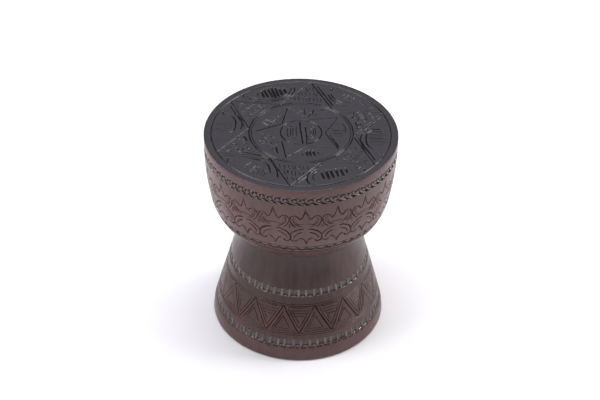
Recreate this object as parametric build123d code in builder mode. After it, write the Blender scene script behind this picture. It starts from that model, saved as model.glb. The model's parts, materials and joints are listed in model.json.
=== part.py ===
from build123d import *
from math import asin, atan2, cos, radians, sin, sqrt
import os

# Drum side table in carved mahogany: a bowl coopered from staves, closed by a
# glued-up top, screwed to a flared base that is coopered too and open below.
# The frame: +Z up, origin on the floor and on the turning axis, front towards -Y.

os.makedirs("parts", exist_ok=True)

# ---------------------------------------------------------------- overall sizes
table_height = 450.0          # floor to the carved face
top_radius = 193.0            # rim of the top, and of the bowl under it
waist_height = 241.0          # where the bowl sits on the neck

# ---------------------------------------------------------------- top panel
top_thickness = 16.0
top_board_count = 5           # boards glued edge to edge, running along X
top_arris = 0.8               # eased edge round the face
rim_line_inset = 14.5         # turned line, in from the rim
rim_line_width = 3.2
rim_line_depth = 1.4

# ---------------------------------------------------------------- bowl
side_sweep = 660.0            # radius of the bowl's side, upright at its rim
belly_rise = 74.0             # from the waist up to where the side begins
underside_ledge = 8.0         # how far the bowl stands out past the neck
bowl_stave_count = 12
bowl_first_joint = -16.0      # azimuth of one stave joint, degrees from +X
bowl_wall = 25.0              # stave thickness at the bottom board
rim_wall = 28.0               # stave thickness at the rim
flare_drop = 64.0             # from the rim down to where the inside tapers in

# ---------------------------------------------------------------- bowl bottom
bottom_thickness = 52.0
bottom_board_count = 3
rebate_depth = 8.0            # step round the bottom that the staves stand on

# ---------------------------------------------------------------- base
foot_radius = 179.3
foot_height = 22.0            # plain foot, nearly upright
foot_batter = 2.3             # how much the foot draws in over its height
neck_radius = 127.0
neck_sweep = 160.0            # radius of the hollow between flare and neck
neck_collar = 10.0            # upright stretch under the bowl
base_wall = 24.0              # at the neck
foot_land = 25.0              # width of the ring that the table stands on
foot_arris = 1.2
base_stave_count = 12
base_first_joint = -1.0       # azimuth of one stave joint, degrees from +X

# ---------------------------------------------------------------- neck joint
plug_thickness = 36.0
plug_bore_margin = 5.0        # straight bore below the plug
dowel_radius = 12.5
dowel_rise = 33.0             # how far the dowel enters the bowl bottom
dowel_skin = 3.0              # wood left under the dowel in the plug
dowel_chamfer = 1.0
neck_screw_count = 6
neck_screw_circle = 80.0      # radius of the ring of screws
neck_screw_bite = 22.0        # thread held in the plug
neck_screw_radius = 3.5
neck_screw_head_radius = 7.5
neck_screw_head_height = 4.0

# ---------------------------------------------------------------- inside the bowl
batten_spacing = 140.0        # centre to centre
batten_width = 36.0
batten_thickness = 20.0
batten_end_gap = 3.0          # from the bowl's inside
glue_block_count = 6
glue_block_arc = 20.0         # degrees of the rim that a block backs
glue_block_first = 30.0       # azimuth of the first block, clear of the battens
glue_block_height = 30.0
glue_block_depth = 20.0
panel_screw_radius = 2.0
panel_screw_head_radius = 4.0
panel_screw_head_height = 2.4
panel_screw_bite = 10.0       # thread held in the top panel
panel_screw_margin = 8.0      # least wood from a screw to its board's edge
panel_screw_point = 5.0

# ---------------------------------------------------------------- turned bands
rope_band_drop = 1.5          # lip between the top panel and the rope border
rope_band_height = 17.0
rope_band_depth = 2.4
upper_dentil_height = 143.0   # lower edge of the row of square pits
upper_dentil_width = 16.5
lower_dentil_height = 34.5
lower_dentil_width = 14.5
dentil_depth = 3.0
upper_border_strip = 16.0     # plain strip between square pits and lines
lower_border_strip = 11.0
line_pitch = 4.0              # between the two lines of a pair
tongue_line_rise = 18.0       # line over the bowl's lower border
line_width = 1.8
line_depth = 0.9

# ---------------------------------------------------------------- main carved cuts
carved_width = 2.4            # of a V cut, at the face
carved_depth = 1.5
star_arm_count = 6            # arms that reach the rim line
star_first_arm = 24.0         # azimuth of one arm, degrees from +X
star_valley = 104.2           # radius at which two arms meet
star_ring = 103.3             # circle that the arms stand on
inner_star_arm_count = 5
inner_star_first_arm = 36.0
inner_star_reach = 91.0
inner_star_valley = 47.3
hub_ring = 40.9               # circle inside the inner star
triangle_count = 15           # upright triangles round the base
triangle_first_corner = -88.8 # azimuth of one lower corner
triangle_lap = 1.0            # how far the corners reach over the turned lines
triangle_stretches = 2        # straight stretches in a cut that follows the curve

# ---------------------------------------------------------------- feet
pad_count = 8
pad_radius = 9.0
pad_thickness = 2.0

# ---------------------------------------------------------------- clearances
glue_gap = 0.2                # between glued curved faces
screw_gap = 0.1               # round a screw or the dowel
end_gap = 1.0                 # past the end of a screw or the dowel
cut_past = 1.0                # how far a cutting section overshoots the face

# ---------------------------------------------------------------- derived sizes
rim_height = table_height - top_thickness
rim_inside = top_radius - rim_wall
seat_height = waist_height + bottom_thickness - rebate_depth
bottom_face_height = waist_height + bottom_thickness
plug_underside = waist_height - plug_thickness
neck_bore = neck_radius - base_wall
neck_bore_bottom = plug_underside - plug_bore_margin
foot_inside = foot_radius - foot_land
neck_upright = waist_height - neck_collar
bowl_stave_arc = 360.0 / bowl_stave_count
base_stave_arc = 360.0 / base_stave_count
top_board_width = 2 * top_radius / top_board_count
neck_screw_length = bottom_thickness + neck_screw_bite
dowel_foot = plug_underside + dowel_skin
dowel_top = waist_height + dowel_rise

# The side arc is centred level with the rim.
shoulder_height = waist_height + belly_rise
side_centre = top_radius - side_sweep
side_drop = rim_height - shoulder_height
shoulder_radius = side_centre + sqrt(side_sweep**2 - side_drop**2)

# The belly arc is tangent to it at the shoulder and ends on the underside.
underside_radius = neck_radius + underside_ledge
normal_across = (shoulder_radius - side_centre) / side_sweep
normal_up = side_drop / side_sweep
belly_across = shoulder_radius - underside_radius
belly_chord_in = belly_across * normal_across - belly_rise * normal_up
belly_sweep = (belly_across**2 + belly_rise**2) / (2 * belly_chord_in)
belly_centre = shoulder_radius - belly_sweep * normal_across
belly_centre_height = shoulder_height + belly_sweep * normal_up

# The flare runs from the foot, tangent to the hollow under the neck.
cone_foot_radius = foot_radius - foot_batter
hollow_centre = neck_radius + neck_sweep
reach_across = hollow_centre - cone_foot_radius
reach_up = neck_upright - foot_height
reach = sqrt(reach_across**2 + reach_up**2)
flare_lean = atan2(reach_up, reach_across) + asin(neck_sweep / reach)
flare_length = sqrt(reach**2 - neck_sweep**2)
flare_top_radius = cone_foot_radius + flare_length * cos(flare_lean)
flare_top_height = foot_height + flare_length * sin(flare_lean)

# Alignments of a solid that stands on its place, and of one that hangs from it.
upwards = (Align.CENTER, Align.CENTER, Align.MIN)
downwards = (Align.CENTER, Align.CENTER, Align.MAX)


def bowl_radius(height):
    """Outer radius of the bowl at a height."""
    if height >= shoulder_height:
        return side_centre + sqrt(side_sweep**2 - (height - rim_height) ** 2)
    return belly_centre + sqrt(belly_sweep**2 - (height - belly_centre_height) ** 2)


def base_radius(height):
    """Outer radius of the base at a height."""
    if height <= foot_height:
        return foot_radius + (cone_foot_radius - foot_radius) * height / foot_height
    if height <= flare_top_height:
        share = (height - foot_height) / (flare_top_height - foot_height)
        return cone_foot_radius + share * (flare_top_radius - cone_foot_radius)
    if height <= neck_upright:
        return hollow_centre - sqrt(neck_sweep**2 - (neck_upright - height) ** 2)
    return neck_radius


def section_plane(azimuth):
    """Upright plane through the axis: local x outwards, local y up."""
    turn = radians(azimuth)
    return Plane(
        origin=(0, 0, 0),
        x_dir=(cos(turn), sin(turn), 0),
        z_dir=(sin(turn), -cos(turn), 0),
    )


def arc_points(radius_at, low, high):
    """Start, middle and end of an arc of the outer face."""
    middle = (low + high) / 2
    return [(radius_at(height), height) for height in (low, middle, high)]


def draw_bowl_outside():
    """Outer face of the whole bowl, waist to rim, closed along the axis."""
    belly = ThreePointArc(*arc_points(bowl_radius, waist_height, shoulder_height))
    side = ThreePointArc(*arc_points(bowl_radius, shoulder_height, rim_height))
    Polyline(side @ 1, (0, rim_height), (0, waist_height), belly @ 0)


def band_outline(radius_at, low, width, depth):
    """Section of a flat-bottomed turned band, past the face by cut_past."""
    high = low + width
    return [
        (radius_at(low) + cut_past, low),
        (radius_at(low) - depth, low),
        (radius_at(high) - depth, high),
        (radius_at(high) + cut_past, high),
    ]


def line_outline(radius_at, height):
    """Section of a turned V line, past the face by cut_past."""
    flank = line_width / 2 * (1 + cut_past / line_depth)
    return [
        (radius_at(height) + cut_past, height - flank),
        (radius_at(height) - line_depth, height),
        (radius_at(height) + cut_past, height + flank),
    ]


def cut_plane(start, end, outwards):
    """Plane across a straight cut at its start, with local y out of the face."""
    run = Vector(end) - Vector(start)
    return Plane(origin=start, x_dir=Vector(outwards).cross(run), z_dir=run)


def cut_length(start, end):
    """Length of a straight cut."""
    return (Vector(end) - Vector(start)).length


def ring_places(count, radius, height, first=0.0):
    """Places round the axis, with no turn of their own."""
    turns = [radians(first + 360.0 * step / count) for step in range(count)]
    return [(radius * cos(turn), radius * sin(turn), height) for turn in turns]


def panel_screw(length, gap, mode):
    """Countersunk screw from below at the current places, or the hole for it."""
    shank_radius = panel_screw_radius + gap
    head_radius = panel_screw_head_radius + gap
    head_height = panel_screw_head_height + gap
    shank_length = length - panel_screw_point
    Cylinder(shank_radius, shank_length, align=upwards, mode=mode)
    Cone(head_radius, shank_radius, head_height, align=upwards, mode=mode)
    with Locations((0, 0, shank_length)):
        Cone(shank_radius, gap, panel_screw_point + gap, align=upwards, mode=mode)


# ---------------------------------------------------------------- screw places
batten_reach = sqrt(
    (rim_inside - batten_end_gap) ** 2 - (batten_spacing / 2 + batten_width / 2) ** 2
)
batten_underside = rim_height - batten_thickness
block_underside = rim_height - glue_block_height
block_screw_circle = rim_inside - glue_gap - glue_block_depth / 2
block_places = ring_places(
    glue_block_count, block_screw_circle, block_underside, glue_block_first
)
batten_screw_length = batten_thickness + panel_screw_bite
block_screw_length = glue_block_height + panel_screw_bite


def board_screw_row(board):
    """Distance along a batten of the screw that holds one board, or None."""
    low = max(-top_radius + board * top_board_width, -batten_reach)
    high = min(-top_radius + (board + 1) * top_board_width, batten_reach)
    if high - low < 2 * panel_screw_margin:
        return None
    return (low + high) / 2


screw_rows = [board_screw_row(board) for board in range(top_board_count)]
batten_rows = [row for row in screw_rows if row is not None]
batten_places = [
    (side * batten_spacing / 2, row, batten_underside)
    for side in (-1, 1)
    for row in batten_rows
]

# ---------------------------------------------------------------- places of the main cuts
cut_flank = carved_width / 2 * (1 + cut_past / carved_depth)
cut_section = [(-cut_flank, cut_past), (0, -carved_depth), (cut_flank, cut_past)]


def star_cuts(count, first, reach, valley):
    """Ends of the straight cuts that outline a star on the top."""
    tips = ring_places(count, reach, table_height, first)
    valleys = ring_places(count, valley, table_height, first + 180.0 / count)
    falling = [(tips[arm], valleys[arm]) for arm in range(count)]
    rising = [(tips[arm], valleys[arm - 1]) for arm in range(count)]
    return falling + rising


def base_place(azimuth, height):
    """Place on the outer face of the base."""
    turn = radians(azimuth)
    radius = base_radius(height)
    return (radius * cos(turn), radius * sin(turn), height)


rim_line_radius = top_radius - rim_line_inset
top_cuts = star_cuts(star_arm_count, star_first_arm, rim_line_radius, star_valley)
top_cuts += star_cuts(
    inner_star_arm_count, inner_star_first_arm, inner_star_reach, inner_star_valley
)
upper_line = upper_dentil_height - upper_border_strip
lower_line = lower_dentil_height + lower_dentil_width + lower_border_strip
corner_low = lower_line + line_pitch - triangle_lap
corner_high = upper_line - line_pitch + triangle_lap
triangle_half_arc = 180.0 / triangle_count

# ---------------------------------------------------------------- top boards
for board in range(top_board_count):
    board_centre = -top_radius + (board + 0.5) * top_board_width
    with BuildPart() as top_board:
        with BuildSketch(Plane.XY.offset(rim_height)):
            Circle(top_radius)
            with Locations((0, board_centre)):
                Rectangle(2 * top_radius, top_board_width, mode=Mode.INTERSECT)
        extrude(amount=top_thickness)
        rim_edges = top_board.edges().filter_by(GeomType.CIRCLE).group_by(Axis.Z)[-1]
        chamfer(rim_edges, length=top_arris)
        with BuildSketch(section_plane(0)):
            with BuildLine():
                flank = rim_line_width / 2 * (1 + cut_past / rim_line_depth)
                Polyline(
                    (rim_line_radius - flank, table_height + cut_past),
                    (rim_line_radius, table_height - rim_line_depth),
                    (rim_line_radius + flank, table_height + cut_past),
                    close=True,
                )
            make_face()
            with Locations((star_ring, table_height), (hub_ring, table_height)):
                Polygon(*cut_section, align=None)
        revolve(axis=Axis.Z, mode=Mode.SUBTRACT)
        for start, end in top_cuts:
            with BuildSketch(cut_plane(start, end, (0, 0, 1))):
                Polygon(*cut_section, align=None)
            extrude(amount=cut_length(start, end), mode=Mode.SUBTRACT)
        with Locations(*batten_places):
            panel_screw(batten_screw_length, screw_gap, Mode.SUBTRACT)
        with Locations(*block_places):
            panel_screw(block_screw_length, screw_gap, Mode.SUBTRACT)
    board_name = f"top_board_{board + 1}"
    top_board.part.label = board_name
    export_step(top_board.part, f"parts/{board_name}.step")

# ---------------------------------------------------------------- battens
for batten_name, side in (("top_batten_left", -1), ("top_batten_right", 1)):
    with BuildPart() as top_batten:
        with BuildSketch(Plane.XY.offset(batten_underside)):
            with Locations((side * batten_spacing / 2, 0)):
                Rectangle(batten_width, 2 * batten_reach)
        extrude(amount=batten_thickness)
        with Locations(*batten_places):
            panel_screw(batten_screw_length, screw_gap, Mode.SUBTRACT)
    top_batten.part.label = batten_name
    export_step(top_batten.part, f"parts/{batten_name}.step")

with BuildPart() as batten_screws:
    with Locations(*batten_places):
        panel_screw(batten_screw_length, 0.0, Mode.ADD)
batten_screws.part.label = "batten_screws"
export_step(batten_screws.part, "parts/batten_screws.step")

# ---------------------------------------------------------------- glue blocks
for block in range(glue_block_count):
    block_azimuth = glue_block_first + block * 360.0 / glue_block_count
    with BuildPart() as glue_block:
        with BuildSketch(section_plane(block_azimuth - glue_block_arc / 2)):
            with Locations((rim_inside - glue_gap, rim_height)):
                Rectangle(glue_block_depth, glue_block_height, align=(Align.MAX, Align.MAX))
        revolve(axis=Axis.Z, revolution_arc=glue_block_arc)
        with Locations(block_places[block]):
            panel_screw(block_screw_length, screw_gap, Mode.SUBTRACT)
    block_name = f"glue_block_{block + 1}"
    glue_block.part.label = block_name
    export_step(glue_block.part, f"parts/{block_name}.step")

with BuildPart() as glue_block_screws:
    with Locations(*block_places):
        panel_screw(block_screw_length, 0.0, Mode.ADD)
glue_block_screws.part.label = "glue_block_screws"
export_step(glue_block_screws.part, "parts/glue_block_screws.step")

# ---------------------------------------------------------------- bowl staves
stave_foot_inside = bowl_radius(seat_height) - bowl_wall
underside_reach = bowl_radius(seat_height) + cut_past
rope_low = rim_height - rope_band_drop - rope_band_height
bowl_inside = [
    (0, rim_height),
    (rim_inside, rim_height),
    (rim_inside, rim_height - flare_drop),
    (stave_foot_inside, bottom_face_height),
    (stave_foot_inside, waist_height),
    (0, waist_height),
]

for stave in range(bowl_stave_count):
    with BuildPart() as bowl_stave:
        with BuildSketch(section_plane(bowl_first_joint + stave * bowl_stave_arc)):
            with BuildLine():
                draw_bowl_outside()
            make_face()
            with Locations((0, waist_height)):
                Rectangle(
                    2 * underside_reach,
                    seat_height - waist_height,
                    align=(Align.CENTER, Align.MIN),
                    mode=Mode.SUBTRACT,
                )
            Polygon(*bowl_inside, align=None, mode=Mode.SUBTRACT)
            rope_band = band_outline(bowl_radius, rope_low, rope_band_height, rope_band_depth)
            Polygon(*rope_band, align=None, mode=Mode.SUBTRACT)
            tongue_line = line_outline(bowl_radius, seat_height + tongue_line_rise)
            Polygon(*tongue_line, align=None, mode=Mode.SUBTRACT)
        revolve(axis=Axis.Z, revolution_arc=bowl_stave_arc)
    stave_name = f"bowl_stave_{stave + 1:02d}"
    bowl_stave.part.label = stave_name
    export_step(bowl_stave.part, f"parts/{stave_name}.step")

# ---------------------------------------------------------------- bowl bottom
bottom_spigot = stave_foot_inside - glue_gap
bottom_widest = bowl_radius(seat_height)
bottom_board_width = 2 * bottom_widest / bottom_board_count
neck_screw_places = ring_places(neck_screw_count, neck_screw_circle, bottom_face_height)
bottom_outline = [
    (0, waist_height),
    (bottom_widest + cut_past, waist_height),
    (bottom_widest + cut_past, seat_height),
    (bottom_spigot, seat_height),
    (bottom_spigot, bottom_face_height),
    (0, bottom_face_height),
]

for board in range(bottom_board_count):
    board_centre = -bottom_widest + (board + 0.5) * bottom_board_width
    with BuildPart() as bottom_board:
        with BuildSketch(section_plane(0)):
            with BuildLine():
                draw_bowl_outside()
            make_face()
            Polygon(*bottom_outline, align=None, mode=Mode.INTERSECT)
        revolve(axis=Axis.Z)
        with Locations((0, board_centre, waist_height)):
            Box(
                2 * bottom_widest,
                bottom_board_width,
                bottom_thickness,
                align=upwards,
                mode=Mode.INTERSECT,
            )
        with Locations(*neck_screw_places):
            Cylinder(
                neck_screw_radius + screw_gap,
                bottom_thickness,
                align=downwards,
                mode=Mode.SUBTRACT,
            )
        with Locations((0, 0, waist_height)):
            Cylinder(
                dowel_radius + screw_gap,
                dowel_rise + end_gap,
                align=upwards,
                mode=Mode.SUBTRACT,
            )
    board_name = f"bowl_bottom_board_{board + 1}"
    bottom_board.part.label = board_name
    export_step(bottom_board.part, f"parts/{board_name}.step")

# ---------------------------------------------------------------- neck joint
with BuildPart() as neck_plug:
    with BuildSketch(Plane.XY.offset(plug_underside)):
        Circle(neck_bore - glue_gap)
    extrude(amount=plug_thickness)
    with Locations(*neck_screw_places):
        Cylinder(
            neck_screw_radius + screw_gap,
            neck_screw_length + end_gap,
            align=downwards,
            mode=Mode.SUBTRACT,
        )
    with Locations((0, 0, waist_height)):
        Cylinder(
            dowel_radius + screw_gap,
            waist_height - dowel_foot,
            align=downwards,
            mode=Mode.SUBTRACT,
        )
neck_plug.part.label = "neck_plug"
export_step(neck_plug.part, "parts/neck_plug.step")

with BuildPart() as centre_dowel:
    with BuildSketch(Plane.XY.offset(dowel_foot)):
        Circle(dowel_radius)
    extrude(amount=dowel_top - dowel_foot)
    chamfer(centre_dowel.edges().filter_by(GeomType.CIRCLE), length=dowel_chamfer)
centre_dowel.part.label = "centre_dowel"
export_step(centre_dowel.part, "parts/centre_dowel.step")

with BuildPart() as neck_screws:
    with Locations(*neck_screw_places):
        Cylinder(neck_screw_radius, neck_screw_length, align=downwards)
        Cylinder(neck_screw_head_radius, neck_screw_head_height, align=upwards)
neck_screws.part.label = "neck_screws"
export_step(neck_screws.part, "parts/neck_screws.step")

# ---------------------------------------------------------------- base staves
dentil_bands = (
    (upper_dentil_height, upper_dentil_width),
    (lower_dentil_height, lower_dentil_width),
)
base_lines = (upper_line, upper_line - line_pitch, lower_line, lower_line + line_pitch)


def triangle_cuts(low_azimuth, high_azimuth):
    """Ends and outward direction of each stretch of the triangles' long cuts."""
    cuts = []
    for corner in range(2 * triangle_count):
        azimuth = triangle_first_corner + corner * triangle_half_arc
        heights = (corner_low, corner_high) if corner % 2 == 0 else (corner_high, corner_low)
        rise = heights[1] - heights[0]
        for stretch in range(triangle_stretches):
            shares = (stretch / triangle_stretches, (stretch + 1) / triangle_stretches)
            turns = [azimuth + share * triangle_half_arc for share in shares]
            middle = (turns[0] + turns[1]) / 2
            lap = (middle - low_azimuth) % 360.0
            if lap < high_azimuth - low_azimuth:
                ends = [
                    base_place(turn, heights[0] + share * rise)
                    for turn, share in zip(turns, shares)
                ]
                across = sin(flare_lean)
                outwards = (
                    across * cos(radians(middle)),
                    across * sin(radians(middle)),
                    -cos(flare_lean),
                )
                cuts.append((ends[0], ends[1], outwards))
    return cuts


for stave in range(base_stave_count):
    stave_azimuth = base_first_joint + stave * base_stave_arc
    stave_cuts = triangle_cuts(
        stave_azimuth - triangle_half_arc, stave_azimuth + base_stave_arc + triangle_half_arc
    )
    with BuildPart() as base_stave:
        with BuildSketch(section_plane(stave_azimuth)):
            with BuildLine():
                foot_edge = pad_thickness + foot_arris
                flare = Polyline(
                    (base_radius(foot_edge) - foot_arris, pad_thickness),
                    (base_radius(foot_edge), foot_edge),
                    (cone_foot_radius, foot_height),
                    (flare_top_radius, flare_top_height),
                )
                hollow = ThreePointArc(*arc_points(base_radius, flare_top_height, neck_upright))
                Polyline(
                    hollow @ 1,
                    (neck_radius, waist_height),
                    (neck_bore, waist_height),
                    (neck_bore, neck_bore_bottom),
                    (foot_inside, pad_thickness),
                    flare @ 0,
                )
            make_face()
            for low, width in dentil_bands:
                dentil_band = band_outline(base_radius, low, width, dentil_depth)
                Polygon(*dentil_band, align=None, mode=Mode.SUBTRACT)
            for line_height in base_lines:
                Polygon(*line_outline(base_radius, line_height), align=None, mode=Mode.SUBTRACT)
        revolve(axis=Axis.Z, revolution_arc=base_stave_arc)
        for start, end, outwards in stave_cuts:
            with BuildSketch(cut_plane(start, end, outwards)):
                Polygon(*cut_section, align=None)
            extrude(amount=cut_length(start, end), mode=Mode.SUBTRACT)
    stave_name = f"base_stave_{stave + 1:02d}"
    base_stave.part.label = stave_name
    export_step(base_stave.part, f"parts/{stave_name}.step")

# ---------------------------------------------------------------- feet
pad_circle = (base_radius(pad_thickness) + foot_inside) / 2

with BuildPart() as felt_pads:
    with Locations(*ring_places(pad_count, pad_circle, 0.0)):
        Cylinder(pad_radius, pad_thickness, align=upwards)
felt_pads.part.label = "felt_pads"
export_step(felt_pads.part, "parts/felt_pads.step")
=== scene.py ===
import json
from dataclasses import dataclass
from math import asin, atan2, cos, exp, hypot, pi, radians, sin, sqrt

import bmesh
import bpy
import numpy as np
from mathutils import Matrix, Vector
from mathutils.geometry import delaunay_2d_cdt


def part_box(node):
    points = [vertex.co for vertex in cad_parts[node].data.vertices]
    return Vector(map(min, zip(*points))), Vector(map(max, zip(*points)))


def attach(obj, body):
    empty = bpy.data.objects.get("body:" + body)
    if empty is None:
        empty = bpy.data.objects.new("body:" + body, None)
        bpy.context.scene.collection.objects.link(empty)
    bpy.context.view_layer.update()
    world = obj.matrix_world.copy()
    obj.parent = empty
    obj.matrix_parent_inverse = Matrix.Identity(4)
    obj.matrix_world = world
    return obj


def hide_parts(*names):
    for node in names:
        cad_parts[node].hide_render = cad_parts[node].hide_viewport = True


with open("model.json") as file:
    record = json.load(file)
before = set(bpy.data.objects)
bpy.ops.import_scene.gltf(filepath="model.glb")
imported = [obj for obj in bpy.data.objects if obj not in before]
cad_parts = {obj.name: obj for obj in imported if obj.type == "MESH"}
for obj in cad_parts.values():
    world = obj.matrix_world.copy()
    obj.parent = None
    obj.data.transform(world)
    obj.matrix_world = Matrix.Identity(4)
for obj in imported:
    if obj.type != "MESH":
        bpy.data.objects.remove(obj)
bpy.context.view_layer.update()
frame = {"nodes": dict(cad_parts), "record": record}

# Dresses a coopered drum table: carved top boards, bowl staves and base staves,
# raised borders, fastenings and feet, with their finishes and a plain studio.
# Lengths are in millimetres until a mesh is made, and in metres from there on.

bl_info = {
    "name": "Carved Drum Table",
    "version": (1, 0, 0),
    "blender": (4, 5, 0),
    "location": "View3D > Sidebar > Drum Table",
    "description": "Carves, finishes and stages a coopered drum side table",
    "category": "Object",
}

MM = 0.001
BODY = "root"


# ---------------------------------------------------------------- sizes read from the frame
def lowest(node):
    """Lowest point of a frame node, in mm."""
    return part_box(node)[0].z / MM


def highest(node):
    """Highest point of a frame node, in mm."""
    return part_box(node)[1].z / MM


TABLE_HEIGHT = highest("top_board_3")
TOP_RADIUS = frame["record"]["size"]["bbox_m"][0] / 2 / MM
RIM_HEIGHT = lowest("top_board_3")
SEAT_HEIGHT = lowest("bowl_stave_01")
WAIST_HEIGHT = highest("base_stave_01")
STAVE_FOOT = lowest("base_stave_01")
TOP_BOARDS = sorted(name for name in frame["nodes"] if name.startswith("top_board_"))
BOWL_STAVES = sorted(name for name in frame["nodes"] if name.startswith("bowl_stave_"))
BASE_STAVES = sorted(name for name in frame["nodes"] if name.startswith("base_stave_"))
BOTTOM_BOARDS = sorted(name for name in frame["nodes"] if name.startswith("bowl_bottom_"))

# ---------------------------------------------------------------- turned outline
SIDE_SWEEP = 660.0  # radius of the bowl's side, upright at the rim
BELLY_RISE = 74.0  # from the waist up to where the side begins
NECK_RADIUS = 127.0
LEDGE = 8.0  # how far the bowl's underside stands out past the neck
FOOT_RADIUS = 179.3
FOOT_HEIGHT = 22.0
FOOT_BATTER = 2.3
FOOT_ARRIS = 1.2
NECK_SWEEP = 160.0
NECK_COLLAR = 10.0
RIM_INSIDE = 165.0
BOWL_TAPER_FOOT = 293.0
BOWL_TAPER_TOP = 370.0
BOWL_WALL = 25.0  # at the bottom board
BASE_FOOT_INSIDE = 154.3
NECK_BORE = 103.0
NECK_BORE_BOTTOM = 200.0

SHOULDER_HEIGHT = WAIST_HEIGHT + BELLY_RISE
SIDE_CENTRE = TOP_RADIUS - SIDE_SWEEP
SIDE_DROP = RIM_HEIGHT - SHOULDER_HEIGHT
SHOULDER_RADIUS = SIDE_CENTRE + sqrt(SIDE_SWEEP**2 - SIDE_DROP**2)
NORMAL_ACROSS = (SHOULDER_RADIUS - SIDE_CENTRE) / SIDE_SWEEP
NORMAL_UP = SIDE_DROP / SIDE_SWEEP
BELLY_ACROSS = SHOULDER_RADIUS - NECK_RADIUS - LEDGE
BELLY_CHORD_IN = BELLY_ACROSS * NORMAL_ACROSS - BELLY_RISE * NORMAL_UP
BELLY_SWEEP = (BELLY_ACROSS**2 + BELLY_RISE**2) / (2 * BELLY_CHORD_IN)
BELLY_CENTRE = SHOULDER_RADIUS - BELLY_SWEEP * NORMAL_ACROSS
BELLY_HEIGHT = SHOULDER_HEIGHT + BELLY_SWEEP * NORMAL_UP

CONE_FOOT = FOOT_RADIUS - FOOT_BATTER
HOLLOW_CENTRE = NECK_RADIUS + NECK_SWEEP
NECK_UPRIGHT = WAIST_HEIGHT - NECK_COLLAR
REACH_ACROSS = HOLLOW_CENTRE - CONE_FOOT
REACH_UP = NECK_UPRIGHT - FOOT_HEIGHT
REACH = hypot(REACH_ACROSS, REACH_UP)
FLARE_LEAN = atan2(REACH_UP, REACH_ACROSS) + asin(NECK_SWEEP / REACH)
FLARE_LENGTH = sqrt(REACH**2 - NECK_SWEEP**2)
FLARE_TOP_RADIUS = CONE_FOOT + FLARE_LENGTH * cos(FLARE_LEAN)
FLARE_TOP = FOOT_HEIGHT + FLARE_LENGTH * sin(FLARE_LEAN)

# ---------------------------------------------------------------- turned bands
ROPE_LOW, ROPE_HIGH, ROPE_DEPTH = RIM_HEIGHT - 18.5, RIM_HEIGHT - 1.5, 2.4
UPPER_DENTIL_LOW, UPPER_DENTIL_HIGH = 143.0, 159.5
LOWER_DENTIL_LOW, LOWER_DENTIL_HIGH = 34.5, 49.0
DENTIL_DEPTH = 3.0
TONGUE_LINE = SEAT_HEIGHT + 18.0
BAND_TOP = UPPER_DENTIL_LOW - 16.0  # outer lines of the triangle band
BAND_BOTTOM = LOWER_DENTIL_HIGH + 11.0
LINE_PITCH = 4.0
LINE_WIDTH, LINE_DEPTH = 2.0, 1.2
RIM_LINE_RADIUS, RIM_LINE_WIDTH, RIM_LINE_DEPTH = 178.5, 3.4, 1.5
TOP_ARRIS = 1.4
TOP_RUB = 0.1  # how far the black is rubbed off the arrises of the top's cuts
BLACK_EDGE = 0.5  # how far in from the edge of the top the black begins
SEAT_CHAMFER = 1.0  # along the lower edge of the bowl staves

CHANNEL_WALL = 0.08  # height over which a channel's wall stands

# ---------------------------------------------------------------- mesh spacing
CUT_PITCH = 1.1  # along a cut
CURVE_STEPS = 8  # between two points of a smooth line
CHUNK = 24  # places of a cut that are searched together
SEARCH_REACH = 2.2  # round a cut, in half widths
ARRIS_SPREAD = 0.3  # how far rubbing spreads from the edge of a cut, in half widths
RUB_FROM, RUB_OVER = 0.8, 0.6  # depth from which a cut's arrises are rubbed, and over which that grows
RUB_FADE = 3.0  # of the rubbing down into a cut, for each mm
CUT_ROWS = (0.0, 0.5, 1.0, 1.4)  # rows of points beside a cut, in half widths
MERGE_CELL = 0.32
EDGE_PITCH = 0.8
GROUND_PITCH = 5.0
BACK_PITCH = 14.0
EDGE_MARGIN = 0.25  # kept clear of points along a joint
RIM_MARGIN, END_MARGIN = 0.08, 0.1  # the same, at the edge of the top and at a stave's ends
FACE_DEPTH = 5.0  # deeper than any cut of the top
RIM_PITCH = 1.6  # round the edge of the top
ARRIS_ROWS = (0.15, 0.45, 0.85, TOP_ARRIS)  # rows of points in from the edge of the top
NOTE_PITCH = 3.0  # along the rows that hold a channel's walls
SHARP_ANGLE = radians(42)
FRAME_SHARP_ANGLE = radians(30)  # of a copied frame part


def bowl_radius(height):
    """Outer radius of the bowl at heights."""
    side = SIDE_CENTRE + np.sqrt(SIDE_SWEEP**2 - (height - RIM_HEIGHT) ** 2)
    below = np.minimum(height, SHOULDER_HEIGHT)
    belly = BELLY_CENTRE + np.sqrt(BELLY_SWEEP**2 - (below - BELLY_HEIGHT) ** 2)
    return np.where(height >= SHOULDER_HEIGHT, side, belly)


BOWL_FOOT_INSIDE = float(bowl_radius(SEAT_HEIGHT)) - BOWL_WALL


def base_radius(height):
    """Outer radius of the base at heights."""
    foot = FOOT_RADIUS - FOOT_BATTER * height / FOOT_HEIGHT
    share = (height - FOOT_HEIGHT) / (FLARE_TOP - FOOT_HEIGHT)
    flare = CONE_FOOT + share * (FLARE_TOP_RADIUS - CONE_FOOT)
    below = np.clip(NECK_UPRIGHT - height, 0, NECK_SWEEP)
    hollow = HOLLOW_CENTRE - np.sqrt(NECK_SWEEP**2 - below**2)
    radius = np.where(height <= FOOT_HEIGHT, foot, np.where(height <= FLARE_TOP, flare, hollow))
    return radius - np.clip(STAVE_FOOT + FOOT_ARRIS - height, 0, FOOT_ARRIS)


def bowl_inside(height):
    """Inner radius of the bowl at heights."""
    return np.interp(height, [BOWL_TAPER_FOOT, BOWL_TAPER_TOP], [BOWL_FOOT_INSIDE, RIM_INSIDE])


def base_inside(height):
    """Inner radius of the base at heights."""
    return np.interp(height, [STAVE_FOOT, NECK_BORE_BOTTOM], [BASE_FOOT_INSIDE, NECK_BORE])


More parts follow.
